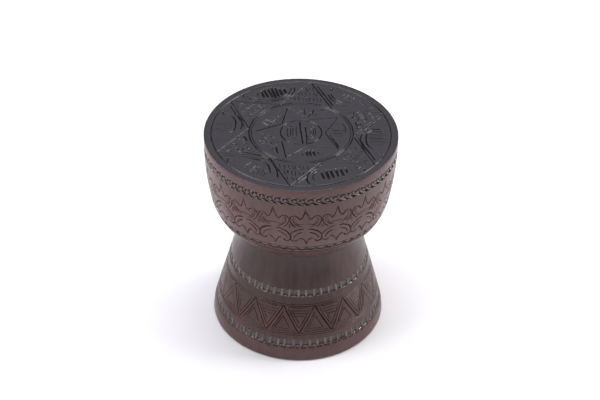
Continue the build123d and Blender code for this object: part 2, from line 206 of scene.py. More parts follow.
# ---------------------------------------------------------------- drawing on a face laid flat
def resample(points, pitch):
    """Evenly spaced places along a line of points, and their distances along it."""
    points = np.asarray(points, float)
    run = np.concatenate([[0.0], np.cumsum(np.hypot(*np.diff(points, axis=0).T))])
    count = max(int(np.ceil(run[-1] / pitch)), 2)
    along = np.linspace(0.0, run[-1], count + 1)
    places = [np.interp(along, run, points[:, axis]) for axis in (0, 1)]
    return np.column_stack(places), along


def curve_through(points):
    """Smooth line through a few points."""
    knots = np.asarray(points, float)
    knots = np.vstack([2 * knots[0] - knots[1], knots, 2 * knots[-1] - knots[-2]])
    t = np.linspace(0.0, 1.0, CURVE_STEPS + 1)[:-1, None]
    spans = []
    for before, start, end, after in zip(knots[:-3], knots[1:-2], knots[2:-1], knots[3:]):
        bend = 2 * before - 5 * start + 4 * end - after
        twist = 3 * start - before - 3 * end + after
        spans.append((2 * start + (end - before) * t + bend * t**2 + twist * t**3) / 2)
    return np.vstack(spans + [knots[-2:-1]])


def arc(radius, first, last, count=91):
    """Arc about the middle of the face, in degrees, as a line of so many points."""
    turns = np.radians(np.linspace(first, last, count))
    return np.column_stack([np.cos(turns), np.sin(turns)]) * radius


def beside(points):
    """Unit vectors to the left of a line of places."""
    way = np.gradient(points, axis=0)
    way /= np.maximum(np.hypot(*way.T), 1e-9)[:, None]
    return np.column_stack([-way[:, 1], way[:, 0]])


# The hand's slow and quick sway along a cut: mm for each radian, and how strong.
LINE_SWAY = ((4.1, 1.0), (1.9, 0.7))
PRESS_SWAY = ((5.3, 0.09), (2.3, 0.05))
TIP = 0.12  # share of its size that a tapered cut keeps at its tip


def sway(along, waves, phases):
    """Sum of a few waves at distances along a cut."""
    return sum(force * np.sin(along / run + phase) for (run, force), phase in zip(waves, phases))


class Drawing:
    """Cuts drawn on one face laid flat, each with places, half widths and depths."""

    def __init__(self, seed, wander, press=0.1):
        self.random = np.random.default_rng(seed)
        self.wander = wander
        self.press = press
        self.cuts = []

    def cut(self, points, width, depth, taper=3.0, scoop=0.0):
        """One stroke. A scoop of 1 is a round gouge, of 0 a V; its two ends may taper unlike."""
        places, along = resample(points, CUT_PITCH)
        phases = self.random.uniform(0, 2 * pi, 4)
        stray = self.wander * sway(along, LINE_SWAY, phases[:2]) / sum(force for _, force in LINE_SWAY)
        places = places + beside(places) * stray[:, None]
        tapers = taper if isinstance(taper, tuple) else (taper, taper)
        fade = np.ones(len(along))
        for run, length in zip((along, along[-1] - along), tapers):
            if length:
                fade = fade * (TIP + (1 - TIP) * np.sin(pi / 2 * np.clip(run / length, 0, 1)))
        force = 1 + sway(along, PRESS_SWAY, phases[2:])
        force = force * self.random.uniform(1 - self.press, 1 + self.press)
        self.cuts.append((places, width / 2 * fade * force, depth * fade * force, scoop))

    def ring(self, radius, width, depth):
        """A whole circle about the middle of the face."""
        self.cut(arc(radius, 0, 360), width, depth, taper=0)


def chunks(cuts):
    """Cuts broken into short runs, for a quick search."""
    for places, half, depth, scoop in cuts:
        for start in range(0, len(places) - 1, CHUNK):
            end = start + CHUNK + 1
            yield places[start:end], half[start:end], depth[start:end], scoop


def read_cuts(cuts, places):
    """Depth cut at each place, and how near it lies to the arris of a cut."""
    sunk = np.zeros(len(places))
    worn = np.zeros(len(places))
    for line, half, depth, scoop in chunks(cuts):
        reach = SEARCH_REACH * half.max()
        near = ((places > line.min(0) - reach) & (places < line.max(0) + reach)).all(1)
        near = np.flatnonzero(near)
        if not len(near):
            continue
        step = np.diff(line, axis=0)
        span = np.maximum((step**2).sum(1), 1e-9)
        offset = places[near][:, None] - line[None, :-1]
        share = np.clip((offset * step).sum(2) / span, 0, 1)
        gap = np.linalg.norm(offset - share[..., None] * step, axis=2)
        width = half[:-1] + share * np.diff(half)
        bottom = depth[:-1] + share * np.diff(depth)
        across = gap / np.maximum(width, 1e-6)
        inside = np.clip(across, 0, 1)
        shape = (1 - scoop) * (1 - inside) + scoop * (1 - inside**2)
        sunk[near] = np.maximum(sunk[near], (bottom * shape).max(1))
        edge = np.exp(-(((across - 1.0) / ARRIS_SPREAD) ** 2))
        edge = edge * np.clip((bottom - RUB_FROM) / RUB_OVER, 0, 1)
        worn[near] = np.maximum(worn[near], edge.max(1))
    return sunk, worn * np.exp(-RUB_FADE * sunk)


def cut_rows(cuts):
    """Rows of places along every cut, the middle of each cut first."""
    rows = []
    for side in CUT_ROWS:
        for sign in (1, -1) if side else (1,):
            for places, half, _, _ in cuts:
                rows.append(places + beside(places) * (sign * side * half)[:, None])
    return np.vstack(rows)


def thin_out(fixed, free):
    """The fixed places, and the free ones that don't crowd an earlier one."""
    places = np.vstack([fixed, free])
    keys = np.floor(places / MERGE_CELL).astype(np.int64)
    first = np.sort(np.unique(keys, axis=0, return_index=True)[1])
    return np.vstack([fixed, places[first[first >= len(fixed)]]])


def triangulate(border, inner):
    """Triangles over a closed border, which comes first, and the places inside it."""
    places = np.vstack([border, inner])
    count = len(border)
    ring = [(step, (step + 1) % count) for step in range(count)]
    made = delaunay_2d_cdt([Vector(place) for place in places], ring, [], 1, 1e-6)
    source = [origins[0] for origins in made[3]]
    return places, [[source[corner] for corner in face] for face in made[2]]


# ---------------------------------------------------------------- meshes
def add_values(mesh, title, values):
    """Give a mesh one value for each point."""
    layer = mesh.attributes.new(title, "FLOAT", "POINT")
    layer.data.foreach_set("value", np.asarray(values, np.float32))


def add_piece(name, points, faces, attributes=None):
    """Mesh object from points in mm, smooth but for its sharp edges."""
    mesh = bpy.data.meshes.new(name)
    mesh.from_pydata((np.asarray(points) * MM).tolist(), [], faces)
    for title, values in (attributes or {}).items():
        add_values(mesh, title, values)
    mesh.shade_smooth()
    mesh.set_sharp_from_angle(angle=SHARP_ANGLE)
    mesh.validate()
    piece = bpy.data.objects.new(name, mesh)
    bpy.context.scene.collection.objects.link(piece)
    return piece


def dress(piece, material, slot, *nodes):
    """Give a finished piece its finish and its place in the frame."""
    piece.data.materials.clear()
    piece.data.materials.append(material)
    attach(piece, BODY)
    if nodes:
        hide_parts(*nodes)


def carve_solid(name, border, inner, back_inner, cuts, front, back, tint, rubbed):
    """Closed solid with a carved front: front and back turn flat places into points."""
    places, faces = triangulate(border, inner)
    sunk, worn = read_cuts(cuts, places)
    worn *= rubbed(places)
    points, recess = front(places, sunk)
    back_places, back_faces = triangulate(border, back_inner)
    count = len(places)
    rim = len(border)
    faces = [tuple(face) for face in faces]
    faces += [tuple(count + corner for corner in reversed(face)) for face in back_faces]
    for step in range(rim):
        after = (step + 1) % rim
        faces.append((after, step, count + step, count + after))
    hidden = np.zeros(len(back_places))
    # The depth below the face, channels included, goes to 'cut' for painted shade and pooled stain in the
    # cuts.
    attributes = {
        "cut": np.concatenate([recess, hidden]),
        "worn": np.concatenate([worn, hidden]),
        "tint": np.full(count + len(back_places), tint),
    }
    return add_piece(name, np.vstack([points, back(back_places)]), faces, attributes)


# ---------------------------------------------------------------- top boards
def board_border(low, high):
    """Border of a board of the round top between two joints, anticlockwise."""
    turn_low, turn_high = np.degrees(np.arcsin(np.clip([low / TOP_RADIUS, high / TOP_RADIUS], -1, 1)))
    runs = ((low, 1, turn_low, turn_high), (high, -1, 180 - turn_high, 180 - turn_low))
    parts = []
    for joint, way, first, last in runs:
        reach = sqrt(max(TOP_RADIUS**2 - joint**2, 0))
        if reach > 1:
            parts.append(resample([(-way * reach, joint), (way * reach, joint)], EDGE_PITCH)[0][:-1])
        edge = resample(arc(TOP_RADIUS, first, last, 400), RIM_PITCH)[0][:-1]
        parts.append(edge * (TOP_RADIUS / np.hypot(*edge.T)[:, None]))
    return np.vstack(parts)


def top_front(places, sunk):
    """Points of the carved face of the top, its arris rounded."""
    inset = np.clip(np.hypot(*places.T) - (TOP_RADIUS - TOP_ARRIS), 0, TOP_ARRIS)
    drop = TOP_ARRIS - np.sqrt(np.maximum(TOP_ARRIS**2 - inset**2, 0))
    return np.column_stack([places, TABLE_HEIGHT - drop - sunk]), sunk


def top_back(places):
    """Points of the underside of the top."""
    return np.column_stack([places, np.full(len(places), RIM_HEIGHT)])


def grid(low, high, pitch):
    """Staggered places over a rectangle."""
    across = np.arange(low[0] + pitch / 2, high[0], pitch)
    up = np.arange(low[1] + pitch / 2, high[1], pitch)
    places = np.stack(np.meshgrid(across, up), -1)
    places[1::2, :, 0] += pitch / 2
    return places.reshape(-1, 2)


def carve_top_board(index, cuts, tint):
    """One board of the top, from its joint to the next."""
    width = 2 * TOP_RADIUS / len(TOP_BOARDS)
    low = -TOP_RADIUS + index * width
    high = low + width
    edge_rows = [arc(TOP_RADIUS - inset, 0, 360) for inset in ARRIS_ROWS]
    edge_rows = np.vstack([resample(row, RIM_PITCH)[0][:-1] for row in edge_rows])
    ground = grid((-TOP_RADIUS, low), (TOP_RADIUS, high), GROUND_PITCH)
    inner = np.vstack([cut_rows(cuts), ground])
    back_inner = grid((-TOP_RADIUS, low), (TOP_RADIUS, high), BACK_PITCH)

    def inside(places):
        between = (places[:, 1] > low + EDGE_MARGIN) & (places[:, 1] < high - EDGE_MARGIN)
        return places[between & (np.hypot(*places.T) < TOP_RADIUS - RIM_MARGIN)]

    piece = carve_solid(
        f"carved_{TOP_BOARDS[index]}",
        board_border(low, high),
        thin_out(inside(edge_rows), inside(inner)),
        inside(back_inner),
        cuts,
        top_front,
        top_back,
        tint,
        lambda places: TOP_RUB,
    )
    spots = np.array([tuple(vertex.co) for vertex in piece.data.vertices]) / MM
    inset = TOP_RADIUS - np.hypot(spots[:, 0], spots[:, 1])
    face = spots[:, 2] > TABLE_HEIGHT - FACE_DEPTH
    add_values(piece.data, "unblackened", (inset < BLACK_EDGE) | ~face)
    return piece


# ---------------------------------------------------------------- staves
@dataclass
class Shell:
    """One ring of staves: how its flat chart maps to the outer and inner faces."""

    staves: list
    chart: float  # radius at which the ring is laid flat
    radius: object  # outer radius by height
    inside: object  # inner radius by height
    channels: list  # low edge, high edge and depth of each
    first_joint: float  # degrees from the front, growing to the right
    low: float
    high: float
    chamfer: float  # along the lower edge
    rub: tuple  # angle from the front, and how far the lacquer is rubbed off the arrises there

    def channel(self, heights):
        """Depth of the turned channels at heights."""
        depth = np.zeros(len(heights))
        for low, high, sunk in self.channels:
            depth = np.where((heights > low) & (heights < high), sunk, depth)
        return depth

    def rubbed(self, places):
        """How much the arrises are rubbed, from 0 to 1, by the angle from the front."""
        turn = np.degrees(places[:, 0] / self.chart)
        return np.interp((turn + 180) % 360 - 180, *zip(*self.rub))

    def front(self, places, sunk):
        """Points of the outer face, cut along its normal."""
        turn = places[:, 0] / self.chart
        heights = places[:, 1]
        step = 0.05
        slope = (self.radius(heights + step) - self.radius(heights - step)) / (2 * step)
        slant = 1 / np.sqrt(1 + slope**2)
        channel = self.channel(heights)
        radius = self.radius(heights) - channel - sunk * slant
        radius -= np.clip(self.low + self.chamfer - heights, 0, self.chamfer)
        rise = heights + sunk * slope * slant
        rise = np.clip(rise, self.low, self.high)
        points = np.column_stack([radius * np.sin(turn), -radius * np.cos(turn), rise])
        return points, sunk + channel

    def back(self, places):
        """Points of the inner face."""
        turn = places[:, 0] / self.chart
        radius = self.inside(places[:, 1])
        return np.column_stack([radius * np.sin(turn), -radius * np.cos(turn), places[:, 1]])

    def heights_of_note(self):
        """Heights at which a row of points has to lie."""
        walls = [wall for low, high, _ in self.channels for wall in (low, high)]
        return sorted(wall + side * CHANNEL_WALL / 2 for wall in walls for side in (-1, 1))


def stave_border(shell, left, right):
    """Border of a stave's chart, anticlockwise from its lower left corner."""
    across = resample([(left, shell.low), (right, shell.low)], EDGE_PITCH)[0]
    upright = np.arange(shell.low, shell.high, EDGE_PITCH)[1:]
    notes = np.array(shell.heights_of_note())
    keep = np.abs(upright[:, None] - notes).min(1) > EDGE_PITCH / 3
    upright = np.sort(np.concatenate([upright[keep], notes]))
    upright = upright[upright < shell.high - EDGE_PITCH / 4]
    upright = np.concatenate([[shell.low], upright, [shell.high]])
    right_side = np.column_stack([np.full(len(upright), right), upright])
    left_side = np.column_stack([np.full(len(upright), left), upright])
    top = across[::-1] + (0, shell.high - shell.low)
    return np.vstack([across[:-1], right_side[:-1], top[:-1], left_side[::-1][:-1]])


def near_cuts(cuts, left, right, whole):
    """The cuts that reach a stave, each brought round to the stave's side."""
    middle = (left + right) / 2
    chosen = []
    for places, half, depth, scoop in cuts:
        low, high = places[:, 0].min(), places[:, 0].max()
        shift = round((middle - (low + high) / 2) / whole) * whole
        reach = 2 * half.max()
        if high + shift + reach > left and low + shift - reach < right:
            chosen.append((places + (shift, 0), half, depth, scoop))
    return chosen


def carve_stave(shell, index, cuts, tint):
    """One stave of a ring, with the part of the carving that falls on it."""
    span = 2 * pi / len(shell.staves)
    left = (radians(shell.first_joint) + index * span) * shell.chart
    right = left + span * shell.chart
    mine = near_cuts(cuts, left, right, 2 * pi * shell.chart)
    level = np.arange(left + NOTE_PITCH / 2, right, NOTE_PITCH)
    notes = shell.heights_of_note()
    note_rows = [np.column_stack([level, np.full(len(level), height)]) for height in notes]
    ground = grid((left, shell.low), (right, shell.high), GROUND_PITCH)
    inner = np.vstack([cut_rows(mine), ground])

    def inside(places):
        across = (places[:, 0] > left + EDGE_MARGIN) & (places[:, 0] < right - EDGE_MARGIN)
        up = (places[:, 1] > shell.low + END_MARGIN) & (places[:, 1] < shell.high - END_MARGIN)
        return places[across & up]

    back_ground = grid((left, shell.low), (right, shell.high), BACK_PITCH)
    return carve_solid(
        f"carved_{shell.staves[index]}",
        stave_border(shell, left, right),
        thin_out(inside(np.vstack(note_rows)), inside(inner)),
        inside(back_ground),
        mine,
        shell.front,
        shell.back,
        tint,
        shell.rubbed,
    )


BOWL = Shell(
    staves=BOWL_STAVES,
    chart=181.0,
    radius=bowl_radius,
    inside=bowl_inside,
    channels=[(ROPE_LOW, ROPE_HIGH, ROPE_DEPTH)],
    first_joint=74.0,
    low=SEAT_HEIGHT,
    high=RIM_HEIGHT,
    chamfer=SEAT_CHAMFER,
    rub=((-180, 0.15), (-40, 0.4), (10, 0.25), (180, 0.15)),
)
BASE = Shell(
    staves=BASE_STAVES,
    chart=158.0,
    radius=base_radius,
    inside=base_inside,
    channels=[
        (UPPER_DENTIL_LOW, UPPER_DENTIL_HIGH, DENTIL_DEPTH),
        (LOWER_DENTIL_LOW, LOWER_DENTIL_HIGH, DENTIL_DEPTH),
    ],
    first_joint=89.0,
    low=STAVE_FOOT,
    high=WAIST_HEIGHT,
    chamfer=0.0,
    rub=((-180, 0.12), (-75, 0.25), (-45, 0.4), (0, 0.35), (35, 0.12), (180, 0.12)),
)

def turned_lines(carving, shell, heights):
    """Level lines cut round a ring of staves on the lathe, each in twelve runs."""
    drawing = Drawing(carving.seed, 0.0)
    run = 2 * pi * shell.chart / 12
    for height in heights:
        for part in range(12):
            ends = [(side * run, height) for side in (part, part + 1)]
            drawing.cut(ends, LINE_WIDTH, LINE_DEPTH, taper=0)
    return drawing.cuts


# ---------------------------------------------------------------- the bowl's carving
FRIEZE_UNITS = 19
FRIEZE_TOP = RIM_HEIGHT - 25.4
FRIEZE_AXIS = 3.3  # degrees from the front to one spike
FRIEZE_RISE = 0.935  # height of the frieze against its drawing
FRIEZE_LEAN = 0.036  # shift to the right for each mm down
FRIEZE_WIDEN, FRIEZE_DEEPEN = 1.25, 1.1  # of each stroke, against its drawing
FRIEZE_STRETCH, FRIEZE_SLIP = 0.04, 0.6  # how far a half palmette strays in width and in place
TONGUES = 60
TONGUE_TOP = SEAT_HEIGHT + 16.5
TONGUE_FIRST, TONGUE_SLIP = 0.35, 0.7  # pitches to the first axis, and how far each strays
# The three cuts of a tongue: width, depth, taper and scoop.
NOTCH = (9.0, 3.6, (6, 2), 0.4)
SPINE = (2.6, 1.2, 2)
HOOP = (5.8, 3.4, 1.5, 0.3)
NOTCH_DROPS = (0.0, 4.5, 10.0)
SPINE_LENGTH = 3.0
HALF_HOOP = ((-8.8, 2.0), (-6.0, 6.5), (0.0, 8.3))  # across from the axis, and down

# Strokes of one palmette that both hands have: width, depth, taper at each end, and places
# across from the axis and down from the top.
FRIEZE_PAIRS = (
    (2.5, 1.6, (9, 3), [(0.0, 3.0), (0.9, 9.0), (2.4, 15.5), (4.6, 22.5), (7.4, 28.0), (11.0, 32.0)]),
    (2.6, 1.6, (3, 3), [(11.0, 32.0), (13.2, 26.5), (16.8, 22.8), (21.6, 21.8), (26.0, 24.2),
     (28.4, 29.6), (28.3, 36.8), (26.0, 43.6), (22.3, 49.4), (17.5, 53.8)]),
    (2.2, 1.3, (3, 6), [(18.2, 29.4), (20.6, 27.6), (22.8, 29.4), (23.2, 34.2), (21.6, 40.4),
     (17.2, 46.2), (11.2, 50.2), (5.2, 52.4)]),
    (1.9, 1.0, (4, 4), [(17.6, 33.0), (18.6, 38.0), (16.0, 43.0), (11.0, 46.5)]),
    (2.9, 1.8, (5, 3), [(3.0, 57.8), (9.0, 58.8), (15.5, 61.4), (21.3, 65.0), (26.0, 70.0),
     (29.4, 77.0), (30.2, 85.0), (27.3, 92.0), (22.2, 94.5), (17.3, 91.8), (15.5, 87.0)]),
    (2.5, 1.5, (4, 3), [(6.0, 67.2), (13.2, 70.8), (18.6, 75.4), (22.2, 81.4), (22.6, 86.6)]),
    (2.6, 1.6, (3, 7), [(14.0, 85.4), (9.2, 85.6), (5.4, 88.8), (2.8, 93.6), (1.0, 99.4), (0.0, 105.0)]),
    (1.5, 0.8, (3, 3), [(4.0, 30.6), (9.0, 28.4), (14.0, 27.2)]),
    (1.6, 0.8, (3, 3), [(4.0, 60.4), (9.0, 58.0), (14.0, 57.4)]),
)
# Strokes that each palmette has once.
FRIEZE_SINGLES = (
    (2.9, 1.8, (10, 5), [(0.2, 0.0), (0.0, 7.0), (0.3, 14.0)]),
    (1.7, 0.9, (5, 5), [(-18.0, 47.0), (-9.0, 44.4), (1.0, 43.2), (9.0, 44.0), (16.0, 46.2)]),
    (2.1, 1.2, (4, 6), [(30.2, 42.0), (30.8, 50.0), (29.8, 58.0)]),
    (1.8, 1.0, (3, 3), [(25.4, 50.4), (30.0, 49.6), (35.2, 51.0)]),
)


def draw_frieze(drawing):
    """Nineteen spiked palmettes with back-to-back scrolls, running round the bowl."""
    for unit in range(FRIEZE_UNITS):
        axis = radians(FRIEZE_AXIS + unit * 360 / FRIEZE_UNITS) * BOWL.chart
        for hand in (-1, 1, 0):
            size = drawing.random.uniform(1 - FRIEZE_STRETCH, 1 + FRIEZE_STRETCH)
            slip = drawing.random.uniform(-FRIEZE_SLIP, FRIEZE_SLIP)
            for width, depth, taper, points in FRIEZE_PAIRS if hand else FRIEZE_SINGLES:
                across, down = np.array(points).T
                right = axis + (hand or 1) * across * size + slip + FRIEZE_LEAN * down
                places = np.column_stack([right, FRIEZE_TOP - FRIEZE_RISE * down])
                drawing.cut(curve_through(places), FRIEZE_WIDEN * width, FRIEZE_DEEPEN * depth, taper)


def draw_tongues(drawing):
    """Hollow tongues along the bowl's lower edge, with deep notches between them."""
    pitch = 2 * pi * BOWL.chart / TONGUES
    for tongue in range(TONGUES):
        axis = (tongue + TONGUE_FIRST) * pitch
        axis += drawing.random.uniform(-TONGUE_SLIP, TONGUE_SLIP)
        notch = axis + pitch / 2
        drawing.cut([(notch, TONGUE_TOP - down) for down in NOTCH_DROPS], *NOTCH)
        drawing.cut([(axis, TONGUE_TOP), (axis, TONGUE_TOP - SPINE_LENGTH)], *SPINE)
        hoop = [(axis + across, TONGUE_TOP - down) for across, down in HALF_HOOP]
        hoop += [(2 * axis - x, y) for x, y in reversed(hoop[:-1])]
        drawing.cut(curve_through(hoop), *HOOP)


def draw_bowl(carving):
    """All the carving of the bowl, laid flat."""
    drawing = Drawing(carving.seed + 2, carving.wander / MM, 0.2)
    draw_frieze(drawing)
    draw_tongues(drawing)
    return drawing.cuts + turned_lines(carving, BOWL, (TONGUE_LINE,))


# ---------------------------------------------------------------- the base's carving
TRIANGLES = 15
FIRST_VALLEY = 1.2  # degrees from the front to one lower corner
CORNER_LAP = 1.0  # how far the corners reach over the turned lines
BOLD, MIDDLING, FAINT = (2.2, 1.4), (2.0, 1.2), (1.8, 1.0)  # width and depth of the inner cuts
# How far the inner cuts lie inside the sides of an upright and of a hanging triangle.
SILL_INSET, FLANK_INSET, CORE_INSET = 4.0, 6.5, 10.5
WEDGE_INSET, SLASH_INSET = 5.6, 11.0
SILL_TRIM = np.array((2.0, 1.5))  # at each end of the level cut, inwards and up
HATCH_LINES, HATCH_DROP, HATCH_PITCH = 4, 4.0, 6.3  # level cuts of a hanging triangle
HATCH_MARGIN, HATCH_SLIP = 9.0, 3.0  # at their ends, the same for all and by chance


def shrink(corners, inset):
    """Triangle with its sides moved in by the same distance."""
    corners = np.asarray(corners, float)
    sides = np.roll(corners, -1, axis=0) - corners
    lengths = np.hypot(*sides.T)
    opposite = np.roll(lengths, -1)
    incentre = (corners * opposite[:, None]).sum(0) / opposite.sum()
    area = abs(sides[0][0] * sides[1][1] - sides[0][1] * sides[1][0]) / 2
    inradius = 2 * area / lengths.sum()
    return incentre + (corners - incentre) * max(1 - inset / inradius, 0.0)


def draw_triangle_band(drawing, main):
    """Upright triangles, each holding two more, and hatched ones hanging between them."""
    pitch = 2 * pi * BASE.chart / TRIANGLES
    low = BAND_BOTTOM + LINE_PITCH - CORNER_LAP
    high = BAND_TOP - LINE_PITCH + CORNER_LAP
    for unit in range(TRIANGLES):
        valley = radians(FIRST_VALLEY) * BASE.chart + unit * pitch
        peak = valley + pitch / 2
        drawing.cut([(valley, low), (peak, high)], *main)
        drawing.cut([(peak, high), (valley + pitch, low)], *main)
        upright = [(valley, low), (valley + pitch, low), (peak, high)]
        left, right, _ = shrink(upright, SILL_INSET)
        drawing.cut([left + SILL_TRIM, right + SILL_TRIM * (-1, 1)], *MIDDLING)
        left, _, top = shrink(upright, FLANK_INSET)
        drawing.cut([left, top], *BOLD)
        corners = shrink(upright, CORE_INSET)
        for start, end in zip(corners, np.roll(corners, -1, axis=0)):
            drawing.cut([start, end], *MIDDLING, taper=2)
        hanging = [(peak, high), (peak + pitch, high), (valley + pitch, low)]
        left, right, point = shrink(hanging, WEDGE_INSET)
        drawing.cut([left, point], *MIDDLING)
        drawing.cut([point, right], *MIDDLING)
        left, _, point = shrink(hanging, SLASH_INSET)
        drawing.cut([left, point], *FAINT)
        middle = valley + pitch
        for line in range(HATCH_LINES):
            height = high - HATCH_DROP - HATCH_PITCH * line
            reach = (pitch / 2 - HATCH_MARGIN) * (height - low) / (high - low)
            reach -= HATCH_SLIP * drawing.random.random()
            drawing.cut([(middle - reach, height), (middle + reach, height)], *FAINT)


def main_cut(carving):
    """Width, depth and taper of the main cuts."""
    return carving.width / MM, carving.depth / MM, 2.0


def draw_base(carving):
    """All the carving of the base, laid flat."""
    drawing = Drawing(carving.seed + 1, carving.wander / MM, 0.2)
    draw_triangle_band(drawing, main_cut(carving))
    heights = (BAND_TOP, BAND_TOP - LINE_PITCH, BAND_BOTTOM, BAND_BOTTOM + LINE_PITCH)
    return drawing.cuts + turned_lines(carving, BASE, heights)


# ---------------------------------------------------------------- the top's carving
STAR_TIP, STAR_VALLEY, STAR_FIRST = RIM_LINE_RADIUS, 104.2, 24.0
RING, INNER_RING = 103.3, 98.6
INNER_RING_WIDTH, INNER_RING_DEPTH = 2.0, 1.1
SECOND_LINE = 6.5  # outside an arm, on one hand of it
SECOND_HANDS = (-1, -1, 1, 1, 1, 1)
FIVE_TIP, FIVE_VALLEY, FIVE_FIRST = 91.0, 47.3, 36.0
HUB = 40.9
POD_AXIS, POD_INNER, POD_CORNER, POD_HALF_WIDTH = 114.0, 121.0, 154.0, 50.0
SECOND_ENDS = (0.13, 0.93)  # of a second line, as shares of its arm's side
BRISTLE_ROWS, FIRST_ROW, ROW_PITCH = 3, 7, 19  # outwards from the ring
BRISTLE_PITCH, BRISTLE_MARGIN = 7.5, 4  # across an arm, and from its sides
ARM_SPREAD = 0.52  # half an arm's width for each mm in from its tip

# Ways to cut a stroke: width, depth, taper and scoop.
KNIFE = (3.4, 2.1, 3.0, 0.0)
FINE = (2.1, 1.2, 3.0, 0.0)
FEATHER = (3.4, 1.6, 6.0, 0.3)
GOUGE = (5.6, 2.8, 6.0, 0.4)
SECOND = (3.3, 2.0, 6.0, 0.0)
ARCH = (3.0, 1.9, 3.0, 0.0)
BRISTLE = (2.2, 1.0, 6.0, 0.0)

# Strokes of the top, listed one by one, X to the right and Y away from the front.
HUB_STROKES = (
    (KNIFE, [
        [(-3, 41), (-2, 15.6), (1.3, -13), (3.9, -39)], [(8.2, 20), (9.7, 0), (11.7, -23.4), (11, -38)],
    ]),
    (FINE, [
        [(-10.4, 18), (-17, 20), (-24, 17), (-27.4, 8), (-27.4, -8), (-23, -18), (-16, -21), (-8, -19)],
        [(-20.8, 14), (-21.2, 0), (-20.8, -12)], [(-16, 15), (-16.4, 0), (-16, -12)],
        [(-10.4, 22), (-9.6, 0), (-9, -14)],
        [(10.5, 17), (16.2, 19.5), (24, 16.9), (28.4, 5.2), (27, -10.4), (19, -20.8), (13.5, -23)],
        [(13, 12.5), (20, 12), (24.2, 5), (23.6, -6), (18, -12.5), (13, -13)],
    ]),
    (FEATHER, [[(18.4, 7.8), (19.8, 2.6), (18.6, -3.4)]]),
)
FIELD_STROKES = (
    (KNIFE, [[(60.1, -14.4), (74.4, -47.2)]]),
    (FINE, [[(55, -4), (62, -18)]]),
    (KNIFE, [[(-6.8, 76.1), (2.3, 68.3)], [(-75.1, 44.6), (-51.5, 27.6)]]),
    (FEATHER, [[(-79, 32.8), (-63.3, 19.7)], [(-75.9, -18.3), (-65.4, -25.4)]]),
    (KNIFE, [[(-63.8, -41.2), (-54.9, -35.9)]]),
    (FINE, [[(-80, -26), (-70, -33), (-62, -30)]]),
    (KNIFE, [[(-48.8, -48.5), (-44.9, -72.2)]]),
    (FEATHER, [[(1, -66.9), (5, -78.7)]]),
    (GOUGE, [
        [(7.6, -60.3), (15.4, -81.3)], [(13.8, -57.4), (20.8, -78.1)], [(21.4, -57.4), (28.6, -77.4)],
    ]),
    (FEATHER, [[(31.2, -61), (36.1, -73.2)], [(-70, -22), (-84, -34)]]),
    (FINE, [[(-61, -27), (-77, -43)], [(-54, -33), (-67, -54)]]),
    (FEATHER, [[(-46, -38), (-57, -62)]]),
    (FINE, [[(-82, 24), (-66, 46)], [(-71, 24), (-54, 52)]]),
    (FEATHER, [[(-60, 28), (-43, 58)]]),
    (FINE, [[(-47, 34), (-33, 62)]]),
    (FEATHER, [[(5.5, 82.2), (7.1, 61.2)], [(12.3, 49.1), (21.2, 71.7)], [(24.6, 82.2), (21.2, 61.2)]]),
    (FINE, [[(29.9, 68.3), (27.3, 57.8)]]),
    (KNIFE, [[(35.1, 80.6), (49.1, 76.9)]]),
    (FEATHER, [[(66, 8.4), (84, 8.8)]]),
    (FINE, [[(64, 3.4), (85, 3.4)]]),
    (FEATHER, [[(62, -1.6), (85, -1.8)]]),
    (FINE, [
        [(66, -6.6), (84, -7)], [(69, -12.6), (82, -13)], [(80.4, 36.4), (87.4, 19.4), (87.8, 1.4)],
    ]),
)
ARM_STROKES = (
    (FINE, [[(91, 76), (96.3, 67.5)]]),
    (FEATHER, [
        [(105, 74.3), (105, 63.8)], [(99.7, 62.2), (105, 48)], [(113.6, 57), (115.5, 44.6)],
        [(106.8, 44.6), (112, 21.8)], [(113.6, 39.4), (122.6, 23.6)],
    ]),
    (FINE, [[(129.4, 57), (131.2, 44.6)], [(119, 39.5), (124, 43), (129, 40), (134, 43), (137, 39)]]),
    (KNIFE, [
        [(7.1, 154.9), (13, 145), (19.2, 139.1)], [(22.8, 133.9), (30, 138), (33.3, 146.2), (28, 149)],
    ]),
    (FINE, [[(2, 132), (10, 122), (22, 118)]]),
    (KNIFE, [[(-114.7, -13.9), (-110, -22), (-105.8, -33.3)]]),
    (FEATHER, [
        [(-125.2, -54.3), (-123.4, -64.8)], [(-112.9, -54.3), (-112.9, -66.4)],
        [(-104.2, -47.2), (-104.2, -57.7)],
    ]),
    (KNIFE, [[(-18.4, -120.7), (-23.6, -124.4), (-23.6, -130.4), (-18.4, -134.6)]]),
    (FINE, [
        [(-8, -118), (0, -124), (8, -121)], [(91, -76), (95, -80), (100, -78), (104, -83), (109, -82)],
    ]),
    (FEATHER, [[(98, -90), (103, -94)], [(108, -92), (114, -99)], [(92, -66), (98, -56)]]),
)
